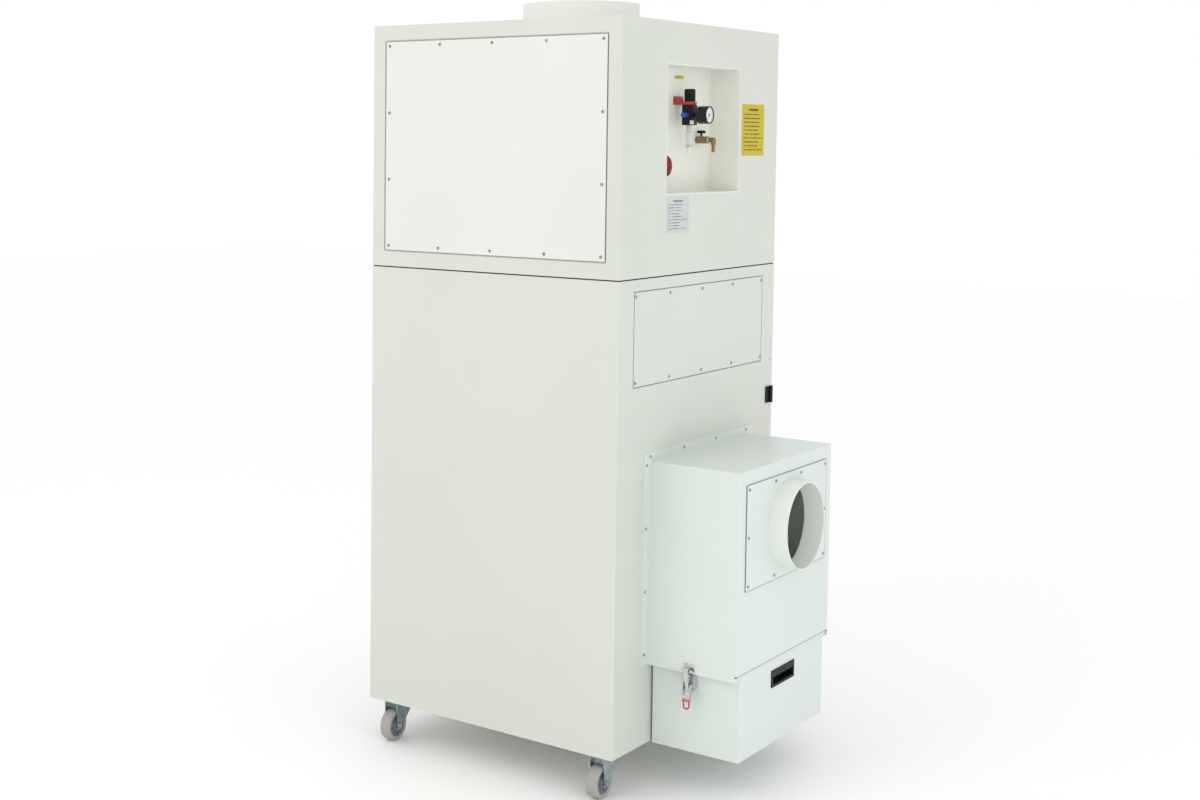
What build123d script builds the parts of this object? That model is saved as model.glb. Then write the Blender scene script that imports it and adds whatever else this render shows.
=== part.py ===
from build123d import *

import os
from math import cos, radians, sin

# A cabinet dust collector on four swivel castors: a lower cabinet with hanging filter cartridges and
# an outside inlet box with a dust bin, and an upper cabinet with the fan. Millimetres, +Z up.
# The origin is on the floor, under the middle of the overall box. -X is the inlet side, -Y the door
# side and +Y the side of the large fan access panel.

# ---- Cabinet
cabinet_width = 690.0
cabinet_depth = 776.0
cabinet_height = 1650.0
usual_height = 1650.0
height_share = cabinet_height / usual_height  # heights along the sheet metal follow its own
lower_height = 1069.0 * height_share
seam_gap = 3.0
seam_inset = 2.5
sheet = 2.0
corner_radius = 3.0
caster_height = 103.0
base_thickness = 3.0
over = 1.0  # how far a cutting shape runs past the sheet that it cuts

# ---- Fits and clearances
running_clearance = 0.05  # radial, a pin or shaft that turns in its hole
touch_gap = 0.3  # between faces of two moving bodies that only lie against each other
screw_clearance = 0.25  # radial, a screw through its hole

# ---- Screws that hold every cover
screw_radius = 2.0
screw_length = 7.0
screw_head_radius = 3.8
screw_head_height = 1.8
screw_slot_width = 0.9
screw_slot_depth = 0.9

# ---- Fan access panel, rear side, upper cabinet
rear_panel_width = 616.0
rear_panel_height = 502.0 * height_share
rear_panel_offset = -1.0
rear_panel_bottom = 1110.0 * height_share
rear_panel_gap = 2.5
rear_screw_inset = 11.5
seat_width = 24.0

# ---- Plenum access panel, inlet side, lower cabinet
plenum_panel_width = 640.0
plenum_panel_height = 215.0 * height_share
plenum_panel_bottom = 827.0 * height_share
plenum_panel_gap = 1.2
plenum_screw_side = 7.0
plenum_screw_edge = 11.0

# ---- Front door and its frame
door_top = 824.0 * height_share
door_depth = 18.0
door_gap = 2.0
frame_rail = 50.0
seal_width = 13.0
seal_set_in = 35.0
hinge_leaf_width = 21.0
hinge_leaf_thickness = 3.0
hinge_height = 41.0
hinge_barrel_radius = 5.0
hinge_pin_radius = 2.5
hinge_stand_off = 5.5
hinge_levels = (120.0 * height_share, 430.0 * height_share, 737.0 * height_share)
knob_levels = (210.0 * height_share, 610.0 * height_share)
knob_inset = 26.0
knob_lobe_ring = 17.0
knob_thickness = 14.0
knob_boss_radius = 11.0
knob_boss_length = 14.0
knob_core_radius = 18.0
knob_stud_radius = 4.0
knob_stud_reach = 12.0
knob_hole_slack = 2.5
knob_lobes = 6
knob_lobe_radius = 7.0

# ---- Castors
caster_inset_x = 51.0
caster_inset_y = 61.0
caster_plate_x = 66.0
caster_plate_y = 94.0
caster_plate_thickness = 3.0
caster_bolt_x = 45.0
caster_bolt_y = 74.0
caster_bolt_radius = 6.0
caster_bolt_head = 4.0
race_radius = 23.0
race_height = 4.0
kingpin_radius = 6.0
kingpin_rise = 5.5
wheel_radius = 37.5
wheel_width = 30.0
hub_radius = 27.0
tyre_crown = 6.0
wheel_trail = 30.0
wheel_side_gap = 2.0
axle_radius = 4.0
axle_head_radius = 6.5
axle_head = 4.0
fork_sheet = 2.5
fork_leg_end_radius = 9.5
fork_leg_front = 21.0
fork_shoulder_drop = 16.0

# ---- Inlet box
box_depth = 225.0
box_width = 482.0
box_bottom = 184.0
box_height = 468.5 * height_share
box_offset_y = -3.0
box_front_lip = 14.0
flange_side = 28.0
flange_top = 20.0
flange_screw_side = 18.0
flange_screw_top = 11.0
flange_screw_spread_y = 480.0
flange_screw_low = 26.0
flange_screw_spread_z = 435.0 * height_share
window_width = 420.0
window_height = 380.0 * height_share
window_lift = 45.0
baffle_set_back = 120.0
baffle_height = 300.0 * height_share
duct_plate_width = 422.0
duct_plate_height = 239.0
duct_plate_bottom = 382.0 * height_share
duct_screw_inset = 11.0
duct_radius = 100.0
duct_length = 45.0
duct_wall = 2.0

# ---- Dust bin and its rails
rail_width = 15.0
bin_width = 441.0
bin_back_gap = 5.5
bin_front_set_back = 3.5
bin_bottom_drop = 2.0
bin_sheet = 2.0
bin_rim_thickness = 2.0
bin_rim_gap = 0.6
bin_front_gap = 2.0
pull_width = 120.0
pull_height = 40.0
pull_centre_z = 148.0
pull_depth = 22.0
pull_wall = 2.0
pull_flange = 4.0
pull_lip = 12.0

# ---- Toggle latches, one on each side of the bin
latch_set_out = 108.0
latch_width = 22.0
latch_base_height = 32.0
latch_base_thickness = 2.0
latch_pivot_out = 8.0
latch_pivot_z = 158.0
latch_pin_radius = 1.6
latch_crank = 11.0
latch_crank_angle = -100.0
latch_plate = 1.5
latch_lever_length = 40.0
latch_bridge_drop = 20.0
latch_wire_radius = 1.8
latch_wire_drop = 53.0
hook_width = 9.0
hook_thickness = 2.2
hook_pivot_radius = 3.2
keeper_width = 26.0
keeper_lip_out = 10.0
keeper_ledge_z = 191.0
keeper_lip_rise = 5.0
keeper_sheet = 1.8
keeper_plate_top = 206.0

# ---- Exhaust collar
exhaust_radius = 143.0
exhaust_length = 62.0
exhaust_wall = 2.0

# ---- Service niche and the air preparation set in it
niche_width = 359.0
niche_height = 294.5 * height_share
niche_offset_y = 3.5
niche_bottom = 1257.5 * height_share
niche_depth = 78.0
regulator_set_off = 32.0
regulator_y = -8.0
regulator_size = 28.0
regulator_bottom = 1416.0 * height_share
regulator_top = regulator_bottom + 48.5
ring_radius = 17.0
ring_height = 5.0
reg_knob_radius = 13.0
reg_knob_height = 30.0
reg_knob_ribs = 20
reg_knob_rib_depth = 0.7
reg_neck_radius = 8.0
bracket_width = 46.0
bracket_height = 20.0
bracket_sheet = 2.0
bowl_radius = 8.5
bowl_length = 48.5
bowl_wall = 1.5
bowl_collar_radius = 7.0
bowl_collar_height = 15.0
drain_ring_radius = 9.0
drain_ring_height = 3.0
drain_radius = 4.5
drain_length = 20.0
gauge_radius = 21.0
gauge_depth = 27.0
gauge_stem_radius = 5.0
gauge_stem_length = 13.0
gauge_rim = 2.2
gauge_well = 2.5
gauge_level = 1440.0 * height_share
needle_length = 13.0
needle_width = 1.4
needle_zero_angle = -45.0
needle_hub_radius = 3.0
needle_thickness = 0.8
fitting_radius = 6.0
fitting_length = 20.0
valve_y = -106.0
valve_level = 1381.5 * height_share
valve_nut_radius = 9.5
valve_nut_length = 6.0
valve_body_radius = 8.5
valve_body_length = 26.0
valve_ring_radius = 7.0
valve_ring_length = 2.5
valve_elbow_reach = 45.0
valve_elbow_radius = 6.0
barb_radius = 4.0
barb_length = 17.5
valve_stem_radius = 2.5
valve_stem_height = 16.0
valve_stem_set_off = 6.5
valve_lever_length = 21.0
valve_lever_width = 7.0
valve_lever_thickness = 7.0
control_y = 87.0
stop_level = 1319.5 * height_share
stop_radius = 25.0
stop_head = 12.0
stop_stand_off = 16.0
stop_neck_radius = 11.0
stop_travel = 5.0
start_level = 1400.0 * height_share
start_radius = 11.0
start_travel = 3.0
start_proud = 5.0
lamp_level = 1487.0 * height_share
lamp_radius = 11.0
lamp_proud = 18.0
bezel_wall = 3.5
bezel_height = 6.0
gland_y = 150.0
gland_level = 1318.0 * height_share
gland_radius = 11.0
gland_length = 24.0

# ---- Labels
label_thickness = 0.4
warning_label_y = -250.5
warning_label_width = 121.0
warning_label_bottom = 1344.0 * height_share
warning_label_height = 126.0 * height_share
rating_label_y = 128.0
rating_label_width = 106.0
rating_label_bottom = 1166.5 * height_share
rating_label_height = 84.5 * height_share
air_label_y = -12.0
air_label_width = 44.0
air_label_bottom = 1526.0 * height_share
air_label_height = 8.0

# ---- Filters, tray and pulse cleaning
tube_sheet_level = 808.0 * height_share
tube_sheet_thickness = 3.0
cartridge_radius = 120.0
cartridge_bore = 85.0
cartridge_height = 540.0 * height_share
cartridge_pitch_x = 300.0
cartridge_pitch_y = 350.0
cartridge_cap = 12.0
cartridge_hole = 80.0
tray_width = 570.0
tray_length = 650.0
tray_height = 70.0
tray_sheet = 1.5
tank_radius = 48.0
tank_length = 560.0
tank_x = -255.0
tank_level = 930.0 * height_share
pulse_valve_radius = 24.0
pulse_valve_height = 34.0
blow_pipe_radius = 10.0
blow_pipe_level = 990.0 * height_share
blow_pipe_end_x = 215.0

# ---- Fan
deck_lift = 3.0
deck_thickness = 3.0
fan_inlet_radius = 118.0
fan_inlet_height = 34.0
impeller_radius = 190.0
impeller_height = 110.0
impeller_sheet = 3.0
impeller_eye = 126.0
impeller_blades = 8
impeller_blade_angle = 35.0
impeller_hub_radius = 26.0
impeller_hub_height = 44.0
impeller_lift = 30.0
motor_shaft_radius = 14.0
motor_shaft_length = 60.0
motor_radius = 92.0
motor_length = 230.0
motor_fins = 24
motor_fin_depth = 8.0
stool_plate = 6.0
stool_half_width = 225.0
stool_leg = 24.0

# ---- Values that follow from the sizes above
half_w = cabinet_width / 2
half_d = cabinet_depth / 2
base_z = caster_height
lower_top = base_z + lower_height
upper_bottom = lower_top + seam_gap
cabinet_top = base_z + cabinet_height
knob_reach = touch_gap + knob_boss_length + knob_thickness
wheel_reach = max(0.0, wheel_trail + wheel_radius - caster_inset_y)
inlet_reach = box_depth + sheet + duct_length
centre_x = inlet_reach / 2
centre_y = (knob_reach - wheel_reach) / 2
door_back = -half_d + door_depth
frame_face = door_back + touch_gap
fascia_bottom = base_z + door_top + door_gap
frame_inside = frame_face + sheet
box_top = base_z + box_bottom + box_height
box_half = box_width / 2
knob_spots = [(half_w - knob_inset, base_z + height) for height in knob_levels]
inner_corner = corner_radius - sheet


def level(z, x=0.0, y=0.0):
    """Horizontal plane at height z, with x and y from the cabinet's centre line."""
    return Plane(origin=(centre_x + x, centre_y + y, z))


def inlet_plane(out):
    """Upright plane `out` beyond the inlet wall, facing -X; its x runs towards -Y and its y is height."""
    return Plane(origin=(centre_x - half_w - out, centre_y, 0), x_dir=(0, -1, 0), z_dir=(-1, 0, 0))


def rear_plane(out):
    """Upright plane `out` beyond the rear wall, facing +Y; its x runs towards -X and its y is height."""
    return Plane(origin=(centre_x, centre_y + half_d + out, 0), x_dir=(-1, 0, 0), z_dir=(0, 1, 0))


def front_plane(out):
    """Upright plane `out` beyond the front wall, facing -Y; its x runs towards +X and its y is height."""
    return Plane(origin=(centre_x, centre_y - half_d - out, 0), x_dir=(1, 0, 0), z_dir=(0, -1, 0))


def cross_plane(x, y=0.0, z=0.0):
    """Upright plane across the cabinet at x, facing +X; its x runs towards +Y and its y is up."""
    return Plane(origin=(centre_x + x, centre_y + y, z), x_dir=(0, 1, 0), z_dir=(1, 0, 0))


def block(x_span, y_span, z_span, mode=Mode.ADD):
    """Box between two values on each axis; x and y from the cabinet's centre line, z from the floor."""
    sizes = [span[1] - span[0] for span in (x_span, y_span, z_span)]
    middle = [sum(span) / 2 for span in (x_span, y_span, z_span)]
    with Locations((centre_x + middle[0], centre_y + middle[1], middle[2])):
        Box(*sizes, mode=mode)


def edge_spots(width, height, bottom, inset_x, inset_y, columns, rows, middle=0.0):
    """Screw places round a panel: `columns` along its top and bottom, and `rows` up each side."""
    left = middle - width / 2 + inset_x
    low = bottom + inset_y
    step_x = (width - 2 * inset_x) / (columns - 1)
    step_y = (height - 2 * inset_y) / (rows - 1)
    spots = []
    for column in range(columns):
        for row in range(rows):
            if row in (0, rows - 1) or column in (0, columns - 1):
                spots.append((left + column * step_x, low + row * step_y))
    return spots


def drill(plane, spots, depth):
    """Clearance holes for the cover screws, from `plane` inwards."""
    with BuildSketch(plane) as holes:
        with Locations(*spots):
            Circle(screw_radius + screw_clearance)
    extrude(holes.sketch, amount=-depth, mode=Mode.SUBTRACT)


def screws(plane, spots):
    """Cover screws with tapered pan heads and a cross slot, their heads seated on `plane`."""
    with BuildSketch(plane) as heads:
        with Locations(*spots):
            Circle(screw_head_radius)
    extrude(heads.sketch, amount=screw_head_height, taper=28)
    with BuildSketch(plane) as shanks:
        with Locations(*spots):
            Circle(screw_radius)
    extrude(shanks.sketch, amount=-screw_length)
    with BuildSketch(plane.offset(screw_head_height)) as slots:
        with Locations(*spots):
            Rectangle(screw_head_radius, screw_slot_width)
            Rectangle(screw_slot_width, screw_head_radius)
    extrude(slots.sketch, amount=-screw_slot_depth, mode=Mode.SUBTRACT)


rear_spots = edge_spots(
    rear_panel_width, rear_panel_height, base_z + rear_panel_bottom,
    rear_screw_inset, rear_screw_inset, 5, 4, -rear_panel_offset,
)
plenum_spots = edge_spots(
    plenum_panel_width, plenum_panel_height, base_z + plenum_panel_bottom,
    plenum_screw_side, plenum_screw_edge, 5, 2,
)
duct_spots = edge_spots(
    duct_plate_width, duct_plate_height, base_z + duct_plate_bottom,
    duct_screw_inset, duct_screw_inset, 4, 3, -box_offset_y,
)
flange_spots = [
    (flange_screw_spread_y * (column / 3 - 0.5), box_top + flange_screw_top) for column in range(4)
]
for side in (-1, 1):
    for row in range(4):
        height = base_z + box_bottom + flange_screw_low + row * flange_screw_spread_z / 3
        flange_spots.append((-box_offset_y + side * (box_half + flange_screw_side), height))

os.makedirs("parts", exist_ok=True)

# ---- Lower cabinet: one bent sheet round all four sides, cut away where the door stands
with BuildPart() as lower_wrap:
    with BuildSketch(level(base_z)):
        RectangleRounded(cabinet_width, cabinet_depth, corner_radius)
        RectangleRounded(
            cabinet_width - 2 * sheet, cabinet_depth - 2 * sheet, inner_corner, mode=Mode.SUBTRACT
        )
    extrude(amount=lower_height)
    block(
        (-half_w - over, half_w + over),
        (-half_d - over, frame_face),
        (base_z - over, fascia_bottom),
        Mode.SUBTRACT,
    )
    # The plenum cover lies flush in this opening, on a seat behind the sheet
    plenum_half = plenum_panel_width / 2 + plenum_panel_gap
    block(
        (-half_w - over, -half_w + sheet + over),
        (-plenum_half, plenum_half),
        (
            base_z + plenum_panel_bottom - plenum_panel_gap,
            base_z + plenum_panel_bottom + plenum_panel_height + plenum_panel_gap,
        ),
        Mode.SUBTRACT,
    )
    # Dusty air enters the filter chamber here, behind the inlet box
    block(
        (-half_w - over, -half_w + sheet + over),
        (box_offset_y - window_width / 2, box_offset_y + window_width / 2),
        (
            base_z + box_bottom + window_lift,
            base_z + box_bottom + window_lift + window_height,
        ),
        Mode.SUBTRACT,
    )
    drill(inlet_plane(over), flange_spots, sheet + 2 * over)
    # Seat behind the plenum opening, which its cover screws into
    seat_low = base_z + plenum_panel_bottom
    seat_high = seat_low + plenum_panel_height
    seat_end = plenum_panel_width / 2
    block(
        (-half_w + sheet, -half_w + 2 * sheet),
        (-seat_end - seat_width / 2, seat_end + seat_width / 2),
        (seat_low - seat_width / 2, seat_high + seat_width / 2),
    )
    block(
        (-half_w, -half_w + 3 * sheet),
        (-seat_end + seat_width, seat_end - seat_width),
        (seat_low + seat_width, seat_high - seat_width),
        Mode.SUBTRACT,
    )
    drill(inlet_plane(0), plenum_spots, 3 * sheet)
lower_wrap.part.label = "lower_wrap"
export_step(lower_wrap.part, "parts/lower_wrap.step")

# ---- Floor of the lower cabinet, which carries the castors
with BuildPart() as base_pan:
    block(
        (-half_w + sheet, half_w - sheet),
        (frame_inside, half_d - sheet),
        (base_z, base_z + base_thickness),
    )
    corners = base_pan.edges().filter_by(Axis.Z).group_by(Axis.Y)[-1]
    fillet(corners, inner_corner)
base_pan.part.label = "base_pan"
export_step(base_pan.part, "parts/base_pan.step")

# ---- Frame that the door closes against, with the shelf that meets the sheet above the door
with BuildPart() as door_frame:
    block(
        (-half_w + sheet, half_w - sheet),
        (frame_face, frame_inside),
        (base_z, fascia_bottom + sheet),
    )
    block(
        (-half_w + sheet, half_w - sheet),
        (-half_d + sheet + corner_radius, frame_inside),
        (fascia_bottom, fascia_bottom + sheet),
    )
    block(
        (-half_w + frame_rail, half_w - frame_rail),
        (frame_face - over, frame_inside + over),
        (base_z + frame_rail, fascia_bottom - frame_rail),
        Mode.SUBTRACT,
    )
    with BuildSketch(front_plane(0)):
        with Locations(*knob_spots):
            Circle(knob_stud_radius + knob_hole_slack)
    extrude(amount=-(door_depth + 2 * sheet + over), mode=Mode.SUBTRACT)
door_frame.part.label = "door_frame"
export_step(door_frame.part, "parts/door_frame.step")

# ---- Foam strip between the two cabinets
with BuildPart() as seam_gasket:
    with BuildSketch(level(lower_top)):
        Rectangle(cabinet_width - 2 * seam_inset, cabinet_depth - 2 * seam_inset)
        Rectangle(
            cabinet_width - 2 * seam_inset - 2 * seat_width,
            cabinet_depth - 2 * seam_inset - 2 * seat_width,
            mode=Mode.SUBTRACT,
        )
    extrude(amount=seam_gap)
seam_gasket.part.label = "seam_gasket"
export_step(seam_gasket.part, "parts/seam_gasket.step")

# ---- Upper cabinet: a bent sheet tube with the niche opening and the fan access opening
niche_half = niche_width / 2 + sheet
rear_low = base_z + rear_panel_bottom
rear_high = rear_low + rear_panel_height
rear_left = rear_panel_offset - rear_panel_width / 2
rear_right = rear_panel_offset + rear_panel_width / 2
with BuildPart() as upper_wrap:
    with BuildSketch(level(upper_bottom)):
        RectangleRounded(cabinet_width, cabinet_depth, corner_radius)
        RectangleRounded(
            cabinet_width - 2 * sheet, cabinet_depth - 2 * sheet, inner_corner, mode=Mode.SUBTRACT
        )
    extrude(amount=cabinet_top - upper_bottom)
    block(
        (-half_w - over, -half_w + sheet + over),
        (niche_offset_y - niche_half, niche_offset_y + niche_half),
        (base_z + niche_bottom - sheet, base_z + niche_bottom + niche_height + sheet),
        Mode.SUBTRACT,
    )
    block(
        (rear_left - rear_panel_gap, rear_right + rear_panel_gap),
        (half_d - sheet - over, half_d + over),
        (rear_low - rear_panel_gap, rear_high + rear_panel_gap),
        Mode.SUBTRACT,
    )
    # Seat behind the fan access opening, which its panel screws into
    block(
        (rear_left - seat_width / 2, rear_right + seat_width / 2),
        (half_d - 2 * sheet, half_d - sheet),
        (rear_low - seat_width / 2, rear_high + seat_width / 2),
    )
    block(
        (rear_left + seat_width, rear_right - seat_width),
        (half_d - 3 * sheet, half_d),
        (rear_low + seat_width, rear_high - seat_width),
        Mode.SUBTRACT,
    )
    drill(rear_plane(0), rear_spots, 3 * sheet)
upper_wrap.part.label = "upper_wrap"
export_step(upper_wrap.part, "parts/upper_wrap.step")

# ---- Roof, let into the top of the upper cabinet, with the hole for the exhaust collar
with BuildPart() as top_panel:
    with BuildSketch(level(cabinet_top - sheet)):
        RectangleRounded(cabinet_width - 2 * sheet, cabinet_depth - 2 * sheet, inner_corner)
        Circle(exhaust_radius - exhaust_wall, mode=Mode.SUBTRACT)
    extrude(amount=sheet)
top_panel.part.label = "top_panel"
export_step(top_panel.part, "parts/top_panel.step")

# ---- Exhaust collar: a rolled tube on a spot-welded ring under the roof
with BuildPart() as exhaust_collar:
    with BuildSketch(level(cabinet_top)):
        Circle(exhaust_radius)
        Circle(exhaust_radius - exhaust_wall, mode=Mode.SUBTRACT)
    extrude(amount=exhaust_length)
    rim = exhaust_collar.edges().filter_by(GeomType.CIRCLE).group_by(Axis.Z)[-1]
    fillet(rim, exhaust_wall * 0.3)
exhaust_collar.part.label = "exhaust_collar"
export_step(exhaust_collar.part, "parts/exhaust_collar.step")

# ---- Fan access panel, flush in its opening
with BuildPart() as rear_panel:
    block((rear_left, rear_right), (half_d - sheet, half_d), (rear_low, rear_high))
    fillet(rear_panel.edges().filter_by(Axis.Y), corner_radius)
    drill(rear_plane(over), rear_spots, sheet + 2 * over)
rear_panel.part.label = "rear_panel"
export_step(rear_panel.part, "parts/rear_panel.step")

# ---- Plenum access panel, flush in its opening
with BuildPart() as plenum_panel:
    block(
        (-half_w, -half_w + sheet),
        (-plenum_panel_width / 2, plenum_panel_width / 2),
        (base_z + plenum_panel_bottom, base_z + plenum_panel_bottom + plenum_panel_height),
    )
    fillet(plenum_panel.edges().filter_by(Axis.X), corner_radius)
    drill(inlet_plane(over), plenum_spots, sheet + 2 * over)
plenum_panel.part.label = "plenum_panel"
export_step(plenum_panel.part, "parts/plenum_panel.step")

# ---- All the cover screws
with BuildPart() as cover_screws:
    screws(rear_plane(0), rear_spots)
    screws(inlet_plane(0), plenum_spots)
    screws(inlet_plane(sheet), flange_spots)
    screws(inlet_plane(box_depth + sheet), duct_spots)
cover_screws.part.label = "cover_screws"
export_step(cover_screws.part, "parts/cover_screws.step")

# ---- Inlet box: five folded sides, a flange on three sides of its back, and rails for the bin
front_low = base_z + box_bottom + box_front_lip
with BuildPart() as inlet_box:
    block(
        (-half_w - box_depth, -half_w),
        (box_offset_y - box_half, box_offset_y + box_half),
        (base_z + box_bottom, box_top),
    )
    block(
        (-half_w - box_depth + sheet, -half_w + over),
        (box_offset_y - box_half + sheet, box_offset_y + box_half - sheet),
        (base_z + box_bottom - over, box_top - sheet),
        Mode.SUBTRACT,
    )
    fillet(
        inlet_box.edges().filter_by(Axis.Z).group_by(Axis.X)[0],
        corner_radius * 0.6,
    )
    block(
        (-half_w - sheet, -half_w),
        (box_offset_y - box_half - flange_side, box_offset_y + box_half + flange_side),
        (base_z + box_bottom, box_top + flange_top),
    )
    block(
        (-half_w - sheet - over, -half_w + over),
        (box_offset_y - box_half + sheet, box_offset_y + box_half - sheet),
        (base_z + box_bottom - over, box_top - sheet),
        Mode.SUBTRACT,
    )
    for side in (-1, 1):
        rail_edge = box_offset_y + side * (box_half - sheet)
        rail_tip = rail_edge - side * rail_width
        block(
            (-half_w - box_depth + sheet, -half_w - sheet),
            (min(rail_edge, rail_tip), max(rail_edge, rail_tip)),
            (base_z + box_bottom, base_z + box_bottom + sheet),
        )
    block(
        (-half_w - box_depth - over, -half_w - box_depth + sheet + over),
        (box_offset_y - box_half + sheet, box_offset_y + box_half - sheet),
        (base_z + box_bottom - over, front_low),
        Mode.SUBTRACT,
    )
    with BuildSketch(inlet_plane(box_depth + over)):
        with Locations((-box_offset_y, base_z + duct_plate_bottom + duct_plate_height / 2)):
            Circle(duct_radius - duct_wall)
    extrude(amount=-(sheet + 2 * over), mode=Mode.SUBTRACT)
    drill(inlet_plane(box_depth + over), duct_spots, sheet + 2 * over)
    drill(inlet_plane(sheet + over), flange_spots, sheet + 2 * over)
inlet_box.part.label = "inlet_box"
export_step(inlet_box.part, "parts/inlet_box.step")

# ---- Deflector inside the inlet box, which throws coarse dust down into the bin
with BuildPart() as inlet_baffle:
    block(
        (-half_w - baffle_set_back, -half_w - baffle_set_back + sheet),
        (box_offset_y - box_half + sheet, box_offset_y + box_half - sheet),
        (box_top - sheet - baffle_height, box_top - sheet),
    )
inlet_baffle.part.label = "inlet_baffle"
export_step(inlet_baffle.part, "parts/inlet_baffle.step")

# ---- Inlet collar: a rolled tube welded to a screwed plate
duct_level = base_z + duct_plate_bottom + duct_plate_height / 2
with BuildPart() as inlet_collar:
    with BuildSketch(inlet_plane(box_depth)):
        with Locations((-box_offset_y, duct_level)):
            RectangleRounded(duct_plate_width, duct_plate_height, corner_radius)
            Circle(duct_radius - duct_wall, mode=Mode.SUBTRACT)
    extrude(amount=sheet)
    with BuildSketch(inlet_plane(box_depth + sheet)):
        with Locations((-box_offset_y, duct_level)):
            Circle(duct_radius)
            Circle(duct_radius - duct_wall, mode=Mode.SUBTRACT)
    extrude(amount=duct_length)
    fillet(inlet_collar.edges().filter_by(GeomType.CIRCLE).group_by(Axis.X)[0], duct_wall * 0.3)
    drill(inlet_plane(box_depth + sheet + over), duct_spots, sheet + 2 * over)
inlet_collar.part.label = "inlet_collar"
export_step(inlet_collar.part, "parts/inlet_collar.step")

# ---- Dust bin: an open box with a rim that slides on the inlet box's rails
bin_half = bin_width / 2
bin_back = -half_w - bin_back_gap
bin_front = -half_w - box_depth + bin_front_set_back
bin_low = base_z - bin_bottom_drop
rim_low = base_z + box_bottom + sheet + bin_rim_gap
bin_front_top = front_low - bin_front_gap
rim_half = box_half - sheet - bin_front_gap
with BuildPart() as dust_bin:
    block(
        (bin_front, bin_back),
        (box_offset_y - bin_half, box_offset_y + bin_half),
        (bin_low, rim_low + bin_rim_thickness),
    )
    block(
        (bin_front + bin_sheet, bin_back - bin_sheet),
        (box_offset_y - bin_half + bin_sheet, box_offset_y + bin_half - bin_sheet),
        (bin_low + bin_sheet, rim_low + bin_rim_thickness + over),
        Mode.SUBTRACT,
    )
    for side in (-1, 1):
        rim_in = box_offset_y + side * (bin_half - bin_sheet)
        rim_out = box_offset_y + side * rim_half
        block(
            (bin_front, bin_back),
            (min(rim_in, rim_out), max(rim_in, rim_out)),
            (rim_low, rim_low + bin_rim_thickness),
        )
    block(
        (bin_front, bin_front + bin_sheet),
        (box_offset_y - rim_half, box_offset_y + rim_half),
        (rim_low, bin_front_top),
    )
    # Opening for the recessed pull
    block(
        (bin_front - over, bin_front + bin_sheet + over),
        (
            box_offset_y - pull_width / 2 + pull_flange,
            box_offset_y + pull_width / 2 - pull_flange,
        ),
        (
            base_z + pull_centre_z - pull_height / 2 + pull_flange,
            base_z + pull_centre_z + pull_height / 2 - pull_flange,
        ),
        Mode.SUBTRACT,
    )
dust_bin.part.label = "dust_bin"
export_step(dust_bin.part, "parts/dust_bin.step")

# ---- Moulded recessed pull in the bin's front, open towards the hand, with a finger lip at the top
with BuildPart() as bin_pull:
    pull_mid = base_z + pull_centre_z
    cup_y = pull_width / 2 - pull_flange
    cup_z = pull_height / 2 - pull_flange
    block(
        (bin_front - pull_wall, bin_front),
        (box_offset_y - pull_width / 2, box_offset_y + pull_width / 2),
        (pull_mid - pull_height / 2, pull_mid + pull_height / 2),
    )
    block(
        (bin_front, bin_front + pull_depth),
        (box_offset_y - cup_y, box_offset_y + cup_y),
        (pull_mid - cup_z, pull_mid + cup_z),
    )
    block(
        (bin_front - pull_wall - over, bin_front + pull_depth - pull_wall),
        (box_offset_y - cup_y + pull_wall, box_offset_y + cup_y - pull_wall),
        (pull_mid - cup_z + pull_wall, pull_mid + cup_z - pull_wall),
        Mode.SUBTRACT,
    )
    block(
        (bin_front - pull_wall, bin_front),
        (box_offset_y - cup_y + pull_wall, box_offset_y + cup_y - pull_wall),
        (pull_mid + cup_z - pull_lip, pull_mid + cup_z - pull_wall),
    )
bin_pull.part.label = "bin_pull"
export_step(bin_pull.part, "parts/bin_pull.step")

# ---- Toggle latches. `side` is +1 on the rear side of the bin and -1 on its door side. The latch's
# own profile is drawn outwards from the inlet box's side, so both sides mirror one drawing.
latch_x = -half_w - latch_set_out
pivot_z = base_z + latch_pivot_z
crank_out = latch_pivot_out + latch_crank * cos(radians(latch_crank_angle))
crank_z = pivot_z + latch_crank * sin(radians(latch_crank_angle))
lip_z = base_z + keeper_ledge_z + keeper_lip_rise
ear_inside = hook_width / 2 + latch_plate + 2 * touch_gap
ear_outside = latch_width / 2


def latch_y(side, out):
    """Place along Y of a point `out` beyond the inlet box's side wall."""
    return box_offset_y + side * (box_half + out)


def latch_block(side, x_span, out_span, z_span, mode=Mode.ADD):
    """Box for a latch piece; x from the latch's middle, `out` from the inlet box's side."""
    ends = sorted(latch_y(side, out) for out in out_span)
    block((latch_x + x_span[0], latch_x + x_span[1]), ends, z_span, mode)


def latch_profile(side, points, x_span):
    """Prism along X through (out, z) points of a latch piece."""
    with BuildSketch(cross_plane(latch_x + x_span[0])) as outline:
        with BuildLine():
            Polyline(*[(latch_y(side, out), z) for out, z in points], close=True)
        make_face()
    extrude(outline.sketch, amount=x_span[1] - x_span[0])


def latch_pin(side, out, z, x_span, radius, mode=Mode.ADD):
    """Round bar along X at a latch pivot."""
    with BuildSketch(cross_plane(latch_x + x_span[0])) as section:
        with Locations((latch_y(side, out), z)):
            Circle(radius)
    extrude(section.sketch, amount=x_span[1] - x_span[0], mode=mode)


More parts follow.
